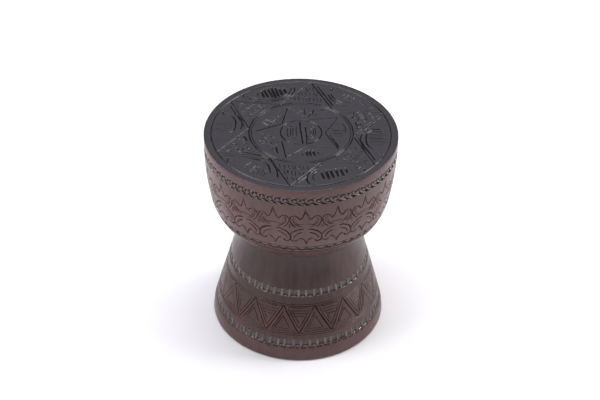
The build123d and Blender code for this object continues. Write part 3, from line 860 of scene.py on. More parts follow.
POD_STROKES = (
    # The pod at 114 degrees from +X, at the back on the left.
    (GOUGE, [
        [(-84.8, 146.2), (-76.1, 119.9)], [(-79.5, 151.4), (-67.5, 119.9)],
        [(-72.7, 156.7), (-58.5, 119.9)], [(-64.8, 160.1), (-51.7, 118.1)], [(-57, 160.1), (-46, 123)],
        [(-48, 156.7), (-39.4, 130)], [(-38.6, 158.3), (-32.3, 137.1)],
    ]),
    (KNIFE, [
        [(-91.9, 137.3), (-88.5, 126.8)],
        [(-118, 133.9), (-119, 124), (-115.5, 118.1), (-110, 121), (-112, 126)],
    ]),
    (FEATHER, [
        [(-117.3, 107.6), (-112.9, 95.3)], [(-107.6, 104.2), (-105.8, 97.1)],
        [(-93.7, 104.2), (-92.7, 97.1)],
    ]),
    (FINE, [[(-91.9, 84.8), (-86, 93), (-78, 99)], [(-88.5, 74.3), (-82, 81), (-74.3, 84.8)]]),
    # At 174 degrees, on the left.
    (KNIFE, [
        [(-141, 54), (-132.5, 39.4), (-130.4, 21.8), (-133, 4), (-142, -8)],
        [(-135.7, 63.8), (-126, 52), (-120, 39.4), (-118, 22), (-120, 6)],
        [(-155.6, 67.5), (-158, 61), (-154.9, 57), (-150, 60)],
    ]),
    (FINE, [
        [(-168.8, 25), (-141, 26)], [(-168.8, 20.2), (-139, 21.2)], [(-155, 15), (-137.3, 14)],
        [(-168.8, 8), (-143, 8.6)], [(-166, 2), (-148, 2)],
    ]),
    (GOUGE, [[(-171.6, -14), (-166.5, -8)]]),
    # At 54 degrees, at the back on the right.
    (KNIFE, [
        [(52.5, 137.3), (59.6, 120), (70, 105.8), (84, 98), (99, 96)],
        [(57.7, 139.1), (64.8, 123.4), (73.5, 112.9), (84, 105)],
        [(70, 158), (64, 160), (60, 155), (63, 149)],
    ]),
    (FEATHER, [
        [(75.3, 114.7), (89.2, 139.1)], [(82.2, 111), (97.9, 137.3)], [(89.2, 107.6), (103.1, 132)],
        [(97, 107), (109, 127)],
    ]),
    (FINE, [
        [(70, 100.5), (87.4, 99)], [(71.7, 93.7), (87.4, 93.7)],
        [(119, 106), (125, 100), (131, 101), (137, 93), (145, 88)],
        [(113, 116), (119, 113), (124, 106)],
    ]),
    # At -6 degrees, on the right.
    (KNIFE, [
        [(134, 14), (123.5, 3.6), (118.9, -8.7), (117.3, -26.2), (122.6, -47.2), (133, -64.8)],
        [(143, 13), (132.4, 1), (128.6, -12.3), (129, -29.7), (133, -42), (141, -52.7)],
    ]),
    (FEATHER, [[(140, 15), (160, 15)], [(137, 8), (163, 7)]]),
    (FINE, [[(134, 2), (164, 1.4)]]),
    (FEATHER, [[(134, -3.6), (165, -4.4)]]),
    (FINE, [[(134, -9), (165, -9.4)]]),
    (FEATHER, [[(134, -14.6), (165, -15.6)]]),
    (FINE, [[(134, -20.2), (164, -21)]]),
    (FEATHER, [[(136, -26.8), (162, -27.6)]]),
    (FINE, [[(138, -35), (158, -36)], [(154, -70), (159, -68), (164.6, -73.5)]]),
    # At -126 degrees, in front on the left.
    (KNIFE, [
        [(-112, -70), (-92, -76), (-74.3, -82.2), (-60, -95), (-51, -111), (-44.6, -131.2),
         (-42.8, -150.4)], [(-103, -90), (-88, -93), (-74.3, -98.6), (-62, -113), (-57, -136.5)],
        [(-137.3, -87.4), (-141, -96), (-140, -105), (-134, -104)],
    ]),
    (FEATHER, [
        [(-104.2, -118.9), (-93.7, -99.7)], [(-98.9, -138.3), (-84.8, -112)],
        [(-91.9, -139.9), (-79.5, -113.6)], [(-83.2, -140.3), (-75.1, -116.9)],
        [(-76.1, -142.9), (-68.5, -120.6)], [(-70.9, -145.6), (-63.8, -127.4)],
        [(-110, -124), (-101, -106)],
    ]),
    # At -66 degrees, in front on the right.
    (GOUGE, [
        [(38.6, -127.4), (46.5, -153.2)], [(47.2, -121.6), (55.9, -152.4)],
        [(55.9, -119), (64.8, -149)], [(66.4, -117), (73.5, -143.9)], [(75.3, -114.5), (84, -141.9)],
        [(85.8, -114.5), (91, -131.4)],
    ]),
    (KNIFE, [
        [(36, -112.3), (26, -122), (17, -136), (13, -150), (14.9, -162.7), (22, -172), (32, -171)],
        [(36.7, -125.8), (28, -136), (24.2, -148), (27, -158)],
        [(94.5, -126), (100, -123), (105, -128), (112, -127.4)],
    ]),
    (FINE, [[(105, -108.4), (110, -110), (108.4, -115.5)]]),
    (GOUGE, [[(121.6, -114), (124, -125)]]),
    (FINE, [[(99, -116), (105, -120), (112, -117), (118, -110)]]),
)


def polar(radius, degrees):
    """Place on the top at a radius and an angle from +X."""
    return np.array([cos(radians(degrees)), sin(radians(degrees))]) * radius


def draw_stars(drawing, main):
    """Six arms that stand on the ring and reach the rim line, and the five-pointed star."""
    for arm in range(6):
        axis = STAR_FIRST + 60 * arm
        tip = polar(STAR_TIP, axis)
        for hand in (-1, 1):
            valley = polar(STAR_VALLEY, axis + hand * 30)
            drawing.cut([tip, valley], *main)
            if hand == SECOND_HANDS[arm]:
                outward = -hand * SECOND_LINE * beside(np.array([tip, valley]))[0]
                ends = [tip + (valley - tip) * share + outward for share in SECOND_ENDS]
                drawing.cut(ends, *SECOND)
    for point in range(5):
        axis = FIVE_FIRST + 72 * point
        for hand in (-1, 1):
            drawing.cut([polar(FIVE_TIP, axis), polar(FIVE_VALLEY, axis + hand * 36)], *main)


def draw_pod(drawing, axis):
    """Two nested arches that reach inwards between two arms."""
    way, side = polar(1.0, axis), polar(1.0, axis - 90)
    for inset in (0.0, 6.0):
        reach = POD_HALF_WIDTH - inset
        inner = POD_INNER + inset
        half = [(-reach, POD_CORNER), (-0.93 * reach, inner + 20), (-0.6 * reach, inner + 6), (0.0, inner)]
        shape = half + [(-across, out) for across, out in reversed(half[:-1])]
        drawing.cut(curve_through([way * out + side * across for across, out in shape]), *ARCH)


def draw_feathers(drawing, arm):
    """Rows of short strokes that fill one arm, from the ring to its tip."""
    axis = STAR_FIRST + 60 * arm
    way, side = polar(1.0, axis), polar(1.0, axis + 90)
    for row in range(BRISTLE_ROWS):
        out = RING + FIRST_ROW + ROW_PITCH * row
        room = (STAR_TIP - out) * ARM_SPREAD - BRISTLE_MARGIN
        for across in np.arange(-room + 3, room, BRISTLE_PITCH):
            start = way * out + side * (across + drawing.random.uniform(-1, 1))
            end = start + way * drawing.random.uniform(10, 16) + side * drawing.random.uniform(2, 6)
            drawing.cut([start, end], *BRISTLE)


def draw_top(carving):
    """All the carving of the top."""
    drawing = Drawing(carving.seed + 3, carving.wander / MM, 0.18)
    main = main_cut(carving)
    for radius in (RING, HUB):
        drawing.ring(radius, *main[:2])
    drawing.ring(INNER_RING, INNER_RING_WIDTH, INNER_RING_DEPTH)
    draw_stars(drawing, main)
    draw_pod(drawing, POD_AXIS)
    for arm in range(6):
        draw_feathers(drawing, arm)
    for group in (HUB_STROKES, FIELD_STROKES, ARM_STROKES, POD_STROKES):
        for way, strokes in group:
            for points in strokes:
                drawing.cut(curve_through(points) if len(points) > 2 else points, *way)
    lathe = Drawing(carving.seed, 0.0)
    lathe.ring(RIM_LINE_RADIUS, RIM_LINE_WIDTH, RIM_LINE_DEPTH)
    return drawing.cuts + lathe.cuts


# ---------------------------------------------------------------- node trees
def linear(code):
    """Linear colour of an sRGB hex value."""
    values = [int(code[start : start + 2], 16) / 255 for start in (1, 3, 5)]
    values = [v / 12.92 if v <= 0.04045 else ((v + 0.055) / 1.055) ** 2.4 for v in values]
    return (*values, 1.0)


def give_inputs(tree, node, inputs):
    """Set or link the inputs of a node."""
    for socket, value in inputs.items():
        if isinstance(value, bpy.types.NodeSocket):
            tree.links.new(value, node.inputs[socket])
        else:
            node.inputs[socket].default_value = value


def add_node(tree, kind, inputs=None, **settings):
    """Add a node with its settings and inputs."""
    node = tree.nodes.new(kind)
    for name, value in settings.items():
        setattr(node, name, value)
    give_inputs(tree, node, inputs or {})
    return node


def calculate(tree, operation, *values):
    """Result of a sum on two or three values."""
    return add_node(tree, "ShaderNodeMath", dict(enumerate(values)), operation=operation).outputs[0]


def random_between(tree, low, high, seed):
    """A value of its own for each point."""
    inputs = {2: low, 3: high, "Seed": seed}
    return add_node(tree, "FunctionNodeRandomValue", inputs, data_type="FLOAT").outputs[1]


def about(tree, middle, spread, seed):
    """A value of its own for each point, at most so far from the middle one."""
    low = calculate(tree, "SUBTRACT", middle, spread)
    high = calculate(tree, "ADD", middle, spread)
    return random_between(tree, low, high, seed)


def geometry_tree(name, **sockets):
    """Geometry tree that takes a mesh and the named inputs, and what it is given."""
    tree = bpy.data.node_groups.new(name, "GeometryNodeTree")
    tree.interface.new_socket("Geometry", in_out="INPUT", socket_type="NodeSocketGeometry")
    for title, kind in sockets.items():
        title = title.replace("_", " ").title()
        tree.interface.new_socket(title, in_out="INPUT", socket_type=f"NodeSocket{kind}")
    tree.interface.new_socket("Geometry", in_out="OUTPUT", socket_type="NodeSocketGeometry")
    return tree, add_node(tree, "NodeGroupInput").outputs


def set_material(tree, mesh, material):
    """Give the mesh its finish, and the tree its output."""
    finished = add_node(tree, "GeometryNodeSetMaterial", {"Geometry": mesh, "Material": material})
    add_node(tree, "NodeGroupOutput", {"Geometry": finished.outputs[0]})


def set_out_ring_tree():
    """Copies of the incoming mesh set out round the axis, each a little different."""
    tree, given = geometry_tree(
        "set_out_ring",
        count="Int",
        radius="Float",
        height="Float",
        first_angle="Float",
        size_variation="Float",
        turn_variation="Float",
        angle_variation="Float",
        hand_wander="Float",
        seed="Int",
        material="Material",
    )
    seed = given["Seed"]
    index = add_node(tree, "GeometryNodeInputIndex").outputs[0]
    step = calculate(tree, "DIVIDE", 2 * pi, given["Count"])
    first = calculate(tree, "ADD", given["First Angle"], about(tree, 0.0, given["Angle Variation"], seed))
    turn = calculate(tree, "MULTIPLY_ADD", index, step, first)
    spot = add_node(tree, "ShaderNodeCombineXYZ", {"X": given["Radius"], "Z": given["Height"]})
    place = add_node(
        tree, "ShaderNodeVectorRotate", {"Vector": spot.outputs[0], "Angle": turn}, rotation_type="Z_AXIS"
    )
    points = add_node(tree, "GeometryNodePoints", {"Count": given["Count"], "Position": place.outputs[0]})
    roll = about(tree, 0.0, given["Turn Variation"], seed)
    facing = add_node(tree, "ShaderNodeCombineXYZ", {"X": roll, "Z": turn})
    size = about(tree, 1.0, given["Size Variation"], seed)
    scale = add_node(tree, "ShaderNodeCombineXYZ", {"X": 1.0, "Y": size, "Z": 1.0})
    placing = {"Rotation": facing.outputs[0], "Scale": scale.outputs[0]}
    copies = add_node(
        tree,
        "GeometryNodeInstanceOnPoints",
        {"Points": points.outputs[0], "Instance": given["Geometry"], **placing},
    )
    solid = add_node(tree, "GeometryNodeRealizeInstances", {"Geometry": copies.outputs[0]})
    noise = add_node(tree, "ShaderNodeTexNoise", {"Scale": 260.0, "Detail": 1.0}).outputs["Color"]
    centred = add_node(tree, "ShaderNodeVectorMath", {0: noise, 1: (0.5, 0.5, 0.5)}, operation="SUBTRACT")
    stray = {0: centred.outputs[0], "Scale": given["Hand Wander"]}
    shift = add_node(tree, "ShaderNodeVectorMath", stray, operation="SCALE").outputs[0]
    moved = add_node(tree, "GeometryNodeSetPosition", {"Geometry": solid.outputs[0], "Offset": shift})
    set_material(tree, moved.outputs[0], given["Material"])
    return tree


def set_out_places_tree():
    """Copies of one object stood on the points of the incoming mesh."""
    tree, given = geometry_tree("set_out_places", part="Object", seed="Int", material="Material")
    part = add_node(tree, "GeometryNodeObjectInfo", {"Object": given["Part"]}).outputs["Geometry"]
    turn = random_between(tree, 0.0, 2 * pi, given["Seed"])
    facing = add_node(tree, "ShaderNodeCombineXYZ", {"Z": turn}).outputs[0]
    placing = {"Points": given["Geometry"], "Instance": part, "Rotation": facing}
    copies = add_node(tree, "GeometryNodeInstanceOnPoints", placing)
    solid = add_node(tree, "GeometryNodeRealizeInstances", {"Geometry": copies.outputs[0]})
    set_material(tree, solid.outputs[0], given["Material"])
    return tree


def grow(piece, tree, **given):
    """Run a geometry tree on a piece and keep the result as its plain mesh."""
    modifier = piece.modifiers.new(tree.name, "NODES")
    modifier.node_group = tree
    for item in tree.interface.items_tree:
        title = item.name.lower().replace(" ", "_")
        if item.in_out == "INPUT" and title in given:
            modifier[item.identifier] = given[title]
    graph = bpy.context.evaluated_depsgraph_get()
    graph.update()
    mesh = bpy.data.meshes.new_from_object(
        piece.evaluated_get(graph), preserve_all_data_layers=True, depsgraph=graph
    )
    piece.modifiers.clear()
    piece.data = mesh
    mesh.shade_smooth()
    mesh.set_sharp_from_angle(angle=SHARP_ANGLE)
    return piece


# ---------------------------------------------------------------- units that repeat
STRAND_SECTION = ((1.0, -0.1), (0.8, 0.55), (0.32, 0.94), (-0.32, 0.94), (-0.8, 0.55), (-1.0, -0.1))
BEAD_SECTION = ((1.0, -0.15), (0.94, 0.4), (0.66, 0.8))  # share of the width, and of the height
# A rib's flanks sweep out to the next rib: share of the way there, and height as a share.
FLANK = ((1.0, 0.02), (0.6, 0.07), (0.26, 0.26))


def loft(rows, first=None, last=None):
    """Closed solid through rows of as many points, each end flat or drawn to an apex."""
    count = len(rows[0])
    end = (len(rows) - 1) * count
    points = [point for row in rows for point in row]
    faces = []
    for start in range(0, end, count):
        for side in range(count):
            after = (side + 1) % count
            faces.append((start + side, start + after, start + count + after, start + count + side))
    for apex, ring in ((first, range(count)[::-1]), (last, range(end, end + count))):
        if apex is None:
            faces.append(tuple(ring))
        else:
            faces += [(ring[side - 1], ring[side], len(points)) for side in range(count)]
            points.append(apex)
    return points, faces


def strand(path, half_width, rise):
    """Closed raised strand along a path of (across, up); +X is outwards from the floor."""
    path = np.asarray(path, float)
    rows = []
    for step, (spot, way) in enumerate(zip(path, beside(path))):
        swell = 1.0 if min(step, len(path) - 1 - step) else 0.6
        places = [(spot + way * side * half_width * swell, lift) for side, lift in STRAND_SECTION]
        rows.append([(lift * rise, *place) for place, lift in places])
    return loft(rows)


def rib(half_width, reach, half_pitch, rise, lean):
    """Upright rib, pointed at both ends, whose hollow flanks meet those of the next ribs."""
    rows = []
    for height in np.linspace(-1, 1, 11):
        crest = half_width * (0.3 + 0.7 * (1 - abs(height) ** 4))
        cove = 0.95 * abs(height) ** 4
        flank = []
        for share, lift in FLANK:
            across = crest + share * (half_pitch - crest)
            flank.append((across, lift + (0.9 - lift) * cove))
        side = [(half_pitch, -0.1), *flank, (crest, 0.86), (crest * 0.5, 1.0)]
        section = [(-across, lift) for across, lift in side] + side[::-1]
        up = height * reach
        rows.append([(lift * rise + lean * up, across, up) for across, lift in section])
    return loft(rows)


def round_row(sides, across, up):
    """Places round an oval, anticlockwise."""
    turns = [2 * pi * side / sides for side in range(sides)]
    return [(across * cos(turn), up * sin(turn)) for turn in turns]


def dome(centre, across, up, rise, sides=10):
    """Closed oval bead standing on the floor."""
    rows = []
    for share, lift in BEAD_SECTION:
        places = round_row(sides, across * share, up * share)
        rows.append([(lift * rise, centre[0] + x, centre[1] + y) for x, y in places])
    return loft(rows, last=(rise, *centre))


def turned(outline, sides):
    """Closed solid of revolution about Z from (radius, height) points, axis to axis."""
    rows = []
    for radius, height in outline[1:-1]:
        rows.append([(*spot, height) for spot in round_row(sides, radius, radius)])
    return loft(rows, (0.0, 0.0, outline[0][1]), (0.0, 0.0, outline[-1][1]))


def join_units(*units):
    """Several units as one mesh."""
    points = []
    faces = []
    for unit_points, unit_faces in units:
        faces += [tuple(len(points) + corner for corner in face) for face in unit_faces]
        points += unit_points
    return points, faces


CREST_HIGHLIGHT_DEPTH = 0.6  # how far below the face a raised border's crest still takes the painted highlight
BORDER_TINT = 0.7


def add_unit(name, unit, depth, slope, rubbed, shade):
    """Unit of a raised border, its crest lightened by rubbing and a painted highlight; shade gives the
    painted shade at a point.
    """
    points, faces = unit
    low = [max(depth - point[0] + slope * point[2], 0.0) for point in points]
    attributes = {
        # Painted shade on the flanks and pits, darker the lower they lie.
        "cut": [fall * shade(point) for fall, point in zip(low, points)],
        # Painted highlight on the crest, near the face.
        "worn": [rubbed if fall < CREST_HIGHLIGHT_DEPTH else 0.0 for fall in low],
        "tint": [BORDER_TINT] * len(points),
    }
    return add_piece(name, points, faces, attributes)


# ---------------------------------------------------------------- finishes
def new_material(name):
    """Material with an empty tree, and its shader already joined to the output."""
    material = bpy.data.materials.new(name)
    material.use_nodes = True
    tree = material.node_tree
    tree.nodes.clear()
    shader = add_node(tree, "ShaderNodeBsdfPrincipled")
    add_node(tree, "ShaderNodeOutputMaterial", {"Surface": shader.outputs[0]})
    return material, tree, shader


def stretched_noise(tree, across, along, axis, detail=3.0):
    """Noise whose grains are so many metres across and along the grain."""
    scale = [1 / across] * 3
    scale[axis] = 1 / along
    place = add_node(tree, "ShaderNodeTexCoord").outputs["Object"]
    mapped = add_node(tree, "ShaderNodeMapping", {"Vector": place, "Scale": scale})
    noise = add_node(
        tree, "ShaderNodeTexNoise", {"Vector": mapped.outputs[0], "Scale": 1.0, "Detail": detail}
    )
    return noise.outputs["Fac"]


def to_range(tree, value, low, high, new_low=0.0, new_high=1.0):
    """A value's range brought smoothly to another."""
    node = add_node(
        tree,
        "ShaderNodeMapRange",
        {"Value": value, "From Min": low, "From Max": high, "To Min": new_low, "To Max": new_high},
        interpolation_type="SMOOTHSTEP",
    )
    return node.outputs["Result"]


def blend_colour(tree, factor, first, second, mode="MIX"):
    """One colour mixed over another."""
    node = add_node(
        tree, "ShaderNodeMix", {"Factor": factor, 6: first, 7: second}, data_type="RGBA", blend_type=mode
    )
    return node.outputs[2]


def bumps(tree, height, strength, distance):
    """Surface raised by a height, at most so many metres."""
    inputs = {"Height": height, "Strength": strength, "Distance": distance}
    return add_node(tree, "ShaderNodeBump", inputs)


def read_attribute(tree, name):
    """A value that the mesh carries."""
    return add_node(tree, "ShaderNodeAttribute", attribute_name=name).outputs["Fac"]


def stained(tree, figure, streak, stains):
    """Wood colour between two stains, by its figure and its fine streaks."""
    dark, light = (linear(stain) for stain in stains)
    colour = blend_colour(tree, to_range(tree, figure, 0.6, 1.4), dark, light)
    return blend_colour(tree, streak, colour, dark)


SIDEWAYS, INWARDS, UPRIGHT = 0, 1, 2  # way of the grain
# Size of the wood's marks in metres, across and along the grain.
FIGURE, GRAIN, PORES = (0.012, 0.22), (0.0011, 0.03), (0.0007, 0.007)
RUBBING, UNEVENNESS = (0.02, 0.03), (0.006, 0.02)


def lacquered_wood(name, axis, stains, recess, bare, roughness, specular, coat, dark, side_stains=None):
    """Stained and lacquered wood, its grain along one axis.

    It goes to the recess colour in its cuts, as strongly as dark says, for pooled stain and painted
    shade. It goes to the bare colour where its arrises are rubbed, and on the crests of raised
    borders as a painted highlight. Side stains are for where the face's own stain ends.
    """
    material, tree, shader = new_material(name)
    figure = stretched_noise(tree, *FIGURE, axis)
    grain = stretched_noise(tree, *GRAIN, axis, detail=2.0)
    pores = stretched_noise(tree, *PORES, axis, detail=1.0)
    mottle = calculate(tree, "MULTIPLY_ADD", figure, 0.6, 0.2)
    tinted = calculate(tree, "ADD", mottle, read_attribute(tree, "tint"))
    streak = to_range(tree, grain, 0.42, 0.62, 0.0, 0.22)
    colour = stained(tree, tinted, streak, stains)
    if side_stains:
        side = stained(tree, tinted, streak, side_stains)
        colour = blend_colour(tree, read_attribute(tree, "unblackened"), colour, side)
    pore = to_range(tree, pores, 0.62, 0.7, 0.0, 0.3)
    colour = blend_colour(tree, pore, colour, linear(recess))
    # Towards the bare colour: rubbed arrises, and the crests of raised borders as a painted highlight.
    rubbed = stretched_noise(tree, *RUBBING, axis)
    thin = to_range(tree, rubbed, 0.3, 0.6, 0.2, 0.75)
    bared = calculate(tree, "MULTIPLY", read_attribute(tree, "worn"), thin)
    colour = blend_colour(tree, bared, colour, linear(bare))
    # Painted shade: towards the recess colour the deeper a point lies, along with the stain pooled there.
    sunk = read_attribute(tree, "cut")
    colour = blend_colour(tree, to_range(tree, sunk, 0.2, 1.3, 0.0, dark), colour, linear(recess))
    uneven = stretched_noise(tree, *UNEVENNESS, axis)
    waves = bumps(tree, uneven, 0.08, 0.0006)
    tree.links.new(bumps(tree, grain, 0.05, 0.0003).outputs[0], waves.inputs["Normal"])
    inputs = {
        "Base Color": colour,
        "Roughness": to_range(tree, uneven, 0.3, 0.7, roughness - 0.05, roughness + 0.07),
        "Normal": waves.outputs[0],
        "Specular IOR Level": specular,
        "Coat Weight": coat,
        "Coat Roughness": 0.2,
    }
    give_inputs(tree, shader, inputs)
    return material


MAHOGANY = ("#331d1c", "#604342")
BLACK = ("#121013", "#1c191e")


def satin_lacquered_mahogany():
    """Mahogany, turned, carved and stained: satin red-brown that goes near black in the cuts, with pooled
    stain and painted shade.
    """
    return lacquered_wood(
        "satin_lacquered_mahogany",
        UPRIGHT,
        MAHOGANY,
        recess="#170b0b",
        bare="#a86f4c",
        roughness=0.33,
        specular=0.38,
        coat=0.05,
        dark=0.85,
    )


def burnished_mahogany():
    """Mahogany of the raised borders: its crests go grey and glossy, partly burnished by dusting and
    partly a painted highlight, and its hollows near black with pooled stain and painted shade.
    """
    return lacquered_wood(
        "burnished_mahogany",
        UPRIGHT,
        MAHOGANY,
        recess="#170b0b",
        # Grey of the crests: a painted highlight, partly burnishing.
        bare="#867a7a",
        roughness=0.24,
        specular=0.6,
        coat=0.2,
        dark=0.85,
    )


def blackened_satin_mahogany():
    """Mahogany stained black on its face: neutral, satin, with glossy cuts darkened by pooled stain and
    painted shade, and brown at the edge.
    """
    return lacquered_wood(
        "blackened_satin_mahogany",
        SIDEWAYS,
        BLACK,
        recess="#060505",
        bare="#a88c82",
        roughness=0.28,
        specular=0.45,
        coat=0.0,
        dark=0.75,
        side_stains=MAHOGANY,
    )


def sanded_hardwood():
    """Hardwood sanded and left bare: pale, dull, with fine straight grain."""
    material, tree, shader = new_material("sanded_hardwood")
    figure = stretched_noise(tree, 0.006, 0.12, INWARDS)
    pores = stretched_noise(tree, 0.0007, 0.008, INWARDS, detail=1.0)
    colour = blend_colour(tree, to_range(tree, figure, 0.35, 0.65), linear("#a8825c"), linear("#c09a70"))
    colour = blend_colour(tree, to_range(tree, pores, 0.6, 0.7, 0.0, 0.5), colour, linear("#6e4e33"))
    rough = to_range(tree, figure, 0.3, 0.7, 0.6, 0.75)
    normal = bumps(tree, pores, 0.2, 0.0002).outputs[0]
    give_inputs(tree, shader, {"Base Color": colour, "Roughness": rough, "Normal": normal})
    return material


def zinc_plated_steel():
    """Steel screws plated with zinc: bright grey with a faint mottled bloom."""
    material, tree, shader = new_material("zinc_plated_steel")
    bloom = stretched_noise(tree, 0.002, 0.002, UPRIGHT)
    colour = blend_colour(tree, to_range(tree, bloom, 0.4, 0.65), linear("#b9bcc0"), linear("#a2a5a8"))
    rough = to_range(tree, bloom, 0.3, 0.7, 0.28, 0.45)
    give_inputs(tree, shader, {"Base Color": colour, "Roughness": rough, "Metallic": 1.0})
    return material


def pressed_felt():
    """Wool felt, pressed: dark, matt, with a soft fuzz of fibres."""
    material, tree, shader = new_material("pressed_felt")
    fibres = stretched_noise(tree, 0.0006, 0.0015, SIDEWAYS, detail=4.0)
    colour = blend_colour(tree, to_range(tree, fibres, 0.35, 0.65), linear("#2b2825"), linear("#443f3a"))
    normal = bumps(tree, fibres, 0.5, 0.0004).outputs[0]
    inputs = {"Base Color": colour, "Roughness": 0.95, "Sheen Weight": 0.4, "Normal": normal}
    give_inputs(tree, shader, inputs)
    return material


def matt_floor_paint():
    """Matt white floor paint."""
    material, tree, shader = new_material("matt_floor_paint")
    cloud = stretched_noise(tree, 0.4, 0.4, UPRIGHT)
    colour = blend_colour(tree, to_range(tree, cloud, 0.3, 0.7), linear("#f4f2f4"), linear("#f8f7f9"))
    give_inputs(tree, shader, {"Base Color": colour, "Roughness": 0.75})
    return material


def finish(make):
    """The material named after the function that makes it, made when first asked for."""
    return bpy.data.materials.get(make.__name__) or make()


# ---------------------------------------------------------------- settings
class DrumTableCarving(bpy.types.PropertyGroup):
    """How the knife cuts."""

    width: bpy.props.FloatProperty(
        name="Cut Width", description="Width of the main cuts", default=3.1 * MM, unit="LENGTH"
    )
    depth: bpy.props.FloatProperty(
        name="Cut Depth", description="Depth of the main cuts", default=1.9 * MM, unit="LENGTH"
    )
    wander: bpy.props.FloatProperty(
        name="Wander", description="How far a cut strays from its line", default=0.13 * MM, unit="LENGTH"
    )
    seed: bpy.props.IntProperty(name="Seed", description="Seed of the knife's variation", default=11)


class DrumTableBorders(bpy.types.PropertyGroup):
    """Sizes of the borders that repeat round the table."""

    rope_count: bpy.props.IntProperty(
        name="Rope Strands", description="Strands in the border under the top", default=76, min=12
    )
    upper_dentils: bpy.props.IntProperty(
        name="Upper Ribs", description="Ribs in the upper dentil border", default=56, min=12
    )
    lower_dentils: bpy.props.IntProperty(
        name="Lower Ribs", description="Ribs in the lower dentil border", default=66, min=12
    )
    rib_width: bpy.props.FloatProperty(
        name="Rib Width", description="Width of a dentil rib's crest", default=1.5 * MM, unit="LENGTH"
    )
    rib_drift: bpy.props.FloatProperty(
        name="Rib Drift", description="How far a rib stands from its place", default=0.015, subtype="ANGLE"
    )
    hand_wander: bpy.props.FloatProperty(
        name="Hand Wander",
        description="How far the hand strays from the set-out line",
        default=0.5 * MM,
        unit="LENGTH",
    )
    seed: bpy.props.IntProperty(name="Seed", description="Seed of the hand's variation", default=5)


class DrumTableStage(bpy.types.PropertyGroup):
    """Sizes of the studio round the table."""

    lens: bpy.props.FloatProperty(
        name="Lens", description="Focal length in millimetres", default=102.0
    )
    distance: bpy.props.FloatProperty(
        name="Distance", description="From the camera to its target", default=3.4707, unit="LENGTH"
    )
    tilt: bpy.props.FloatProperty(
        name="Tilt", description="How far the camera looks down", default=0.65626, subtype="ANGLE"
    )
    roll: bpy.props.FloatProperty(
        name="Roll", description="How far the camera leans", default=0.01917, subtype="ANGLE"
    )
    floor_size: bpy.props.FloatProperty(
        name="Floor Size", description="Radius of the floor", default=9.0, unit="LENGTH"
    )


# ---------------------------------------------------------------- operators
def own_tint(random, low, high):
    """How light one piece of wood takes the stain, from 0 to 1."""
    return float(random.uniform(low, high))


# Height, and how much lighter the base is painted there: painted light towards the foot, painted shade at
# the waist under the bowl.
BASE_PAINTED_LIGHT = (
    (0.0, 0.35),
    (LOWER_DENTIL_LOW, 0.3),
    (BAND_BOTTOM, 0.0),
    (UPPER_DENTIL_HIGH, 0.0),
    (WAIST_HEIGHT, -0.15),
)
# Seeds of how light each board or stave takes the stain.
TOP_SEED, BOWL_SEED, BASE_SEED, BOTTOM_SEED = 41, 42, 43, 44


def shade_by_height(piece, painted_light):
    """Make a piece lighter or darker by height, as painted light and shade."""
    heights = np.array([vertex.co.z for vertex in piece.data.vertices]) / MM
    layer = piece.data.attributes["tint"].data
    values = np.zeros(len(heights), np.float32)
    layer.foreach_get("value", values)
    layer.foreach_set("value", (values + np.interp(heights, *zip(*painted_light))).astype(np.float32))


def carve_ring(shell, cuts, seed, tints, painted_light=()):
    """Carve and finish every stave of a ring."""
    random = np.random.default_rng(seed)
    for index, node in enumerate(shell.staves):
        piece = carve_stave(shell, index, cuts, own_tint(random, *tints))
        if painted_light:
            shade_by_height(piece, painted_light)
        dress(piece, finish(satin_lacquered_mahogany), "carved_mahogany", node)


class DRUM_OT_carve_top(bpy.types.Operator):
    """Carve the boards of the top."""

    bl_idname = "drum_table.carve_top"
    bl_label = "Carve Top Boards"

    def execute(self, context):
        cuts = draw_top(context.scene.drum_table_carving)
        random = np.random.default_rng(TOP_SEED)
        for index, node in enumerate(TOP_BOARDS):
            piece = carve_top_board(index, cuts, own_tint(random, 0.6, 0.9))
            dress(piece, finish(blackened_satin_mahogany), "ebonised_mahogany", node)
        return {"FINISHED"}


class DRUM_OT_carve_bowl(bpy.types.Operator):
    """Carve the staves of the bowl."""

    bl_idname = "drum_table.carve_bowl"
    bl_label = "Carve Bowl Staves"

    def execute(self, context):
        carve_ring(BOWL, draw_bowl(context.scene.drum_table_carving), BOWL_SEED, (0.65, 0.95))
        return {"FINISHED"}


class DRUM_OT_carve_base(bpy.types.Operator):
    """Carve the staves of the base."""

    bl_idname = "drum_table.carve_base"
    bl_label = "Carve Base Staves"

    def execute(self, context):
        cuts = draw_base(context.scene.drum_table_carving)
        # The base's staves take the stain darker than the bowl's: partly their own tone, partly painted
        # shade under the bowl.
        carve_ring(BASE, cuts, BASE_SEED, (0.25, 0.5), BASE_PAINTED_LIGHT)
        return {"FINISHED"}


# One strand's middle line, across and up from the middle of the channel, and its half width.
ROPE_STRAND = [
    (4.6, 7.9),
    (0.4, 7.7),
    (-4.0, 7.0),
    (-6.6, 4.2),
    (-6.0, 0.4),
    (-3.4, -3.2),
    (0.4, -5.8),
    (4.6, -7.2),
    (8.2, -7.9),
]
ROPE_HALF_WIDTH = 2.1
ROPE_BEAD = ((1.8, -0.2), 4.6, 4.0)  # place of the bead in a strand's hollow, and its half sizes
ROPE_FIRST = 1.0  # degrees from +X to one strand
ROPE_VARIATION = 0.04  # of the strands' size, and of their lean in radians
UNIT_SINK = 0.1  # how far a raised border stays below the face
ROPE_PAINTED_HIGHLIGHT, ROPE_PAINTED_SHADE = 0.6, 0.3  # strength of the painted highlight on its crests, and of the painted shade on its flanks


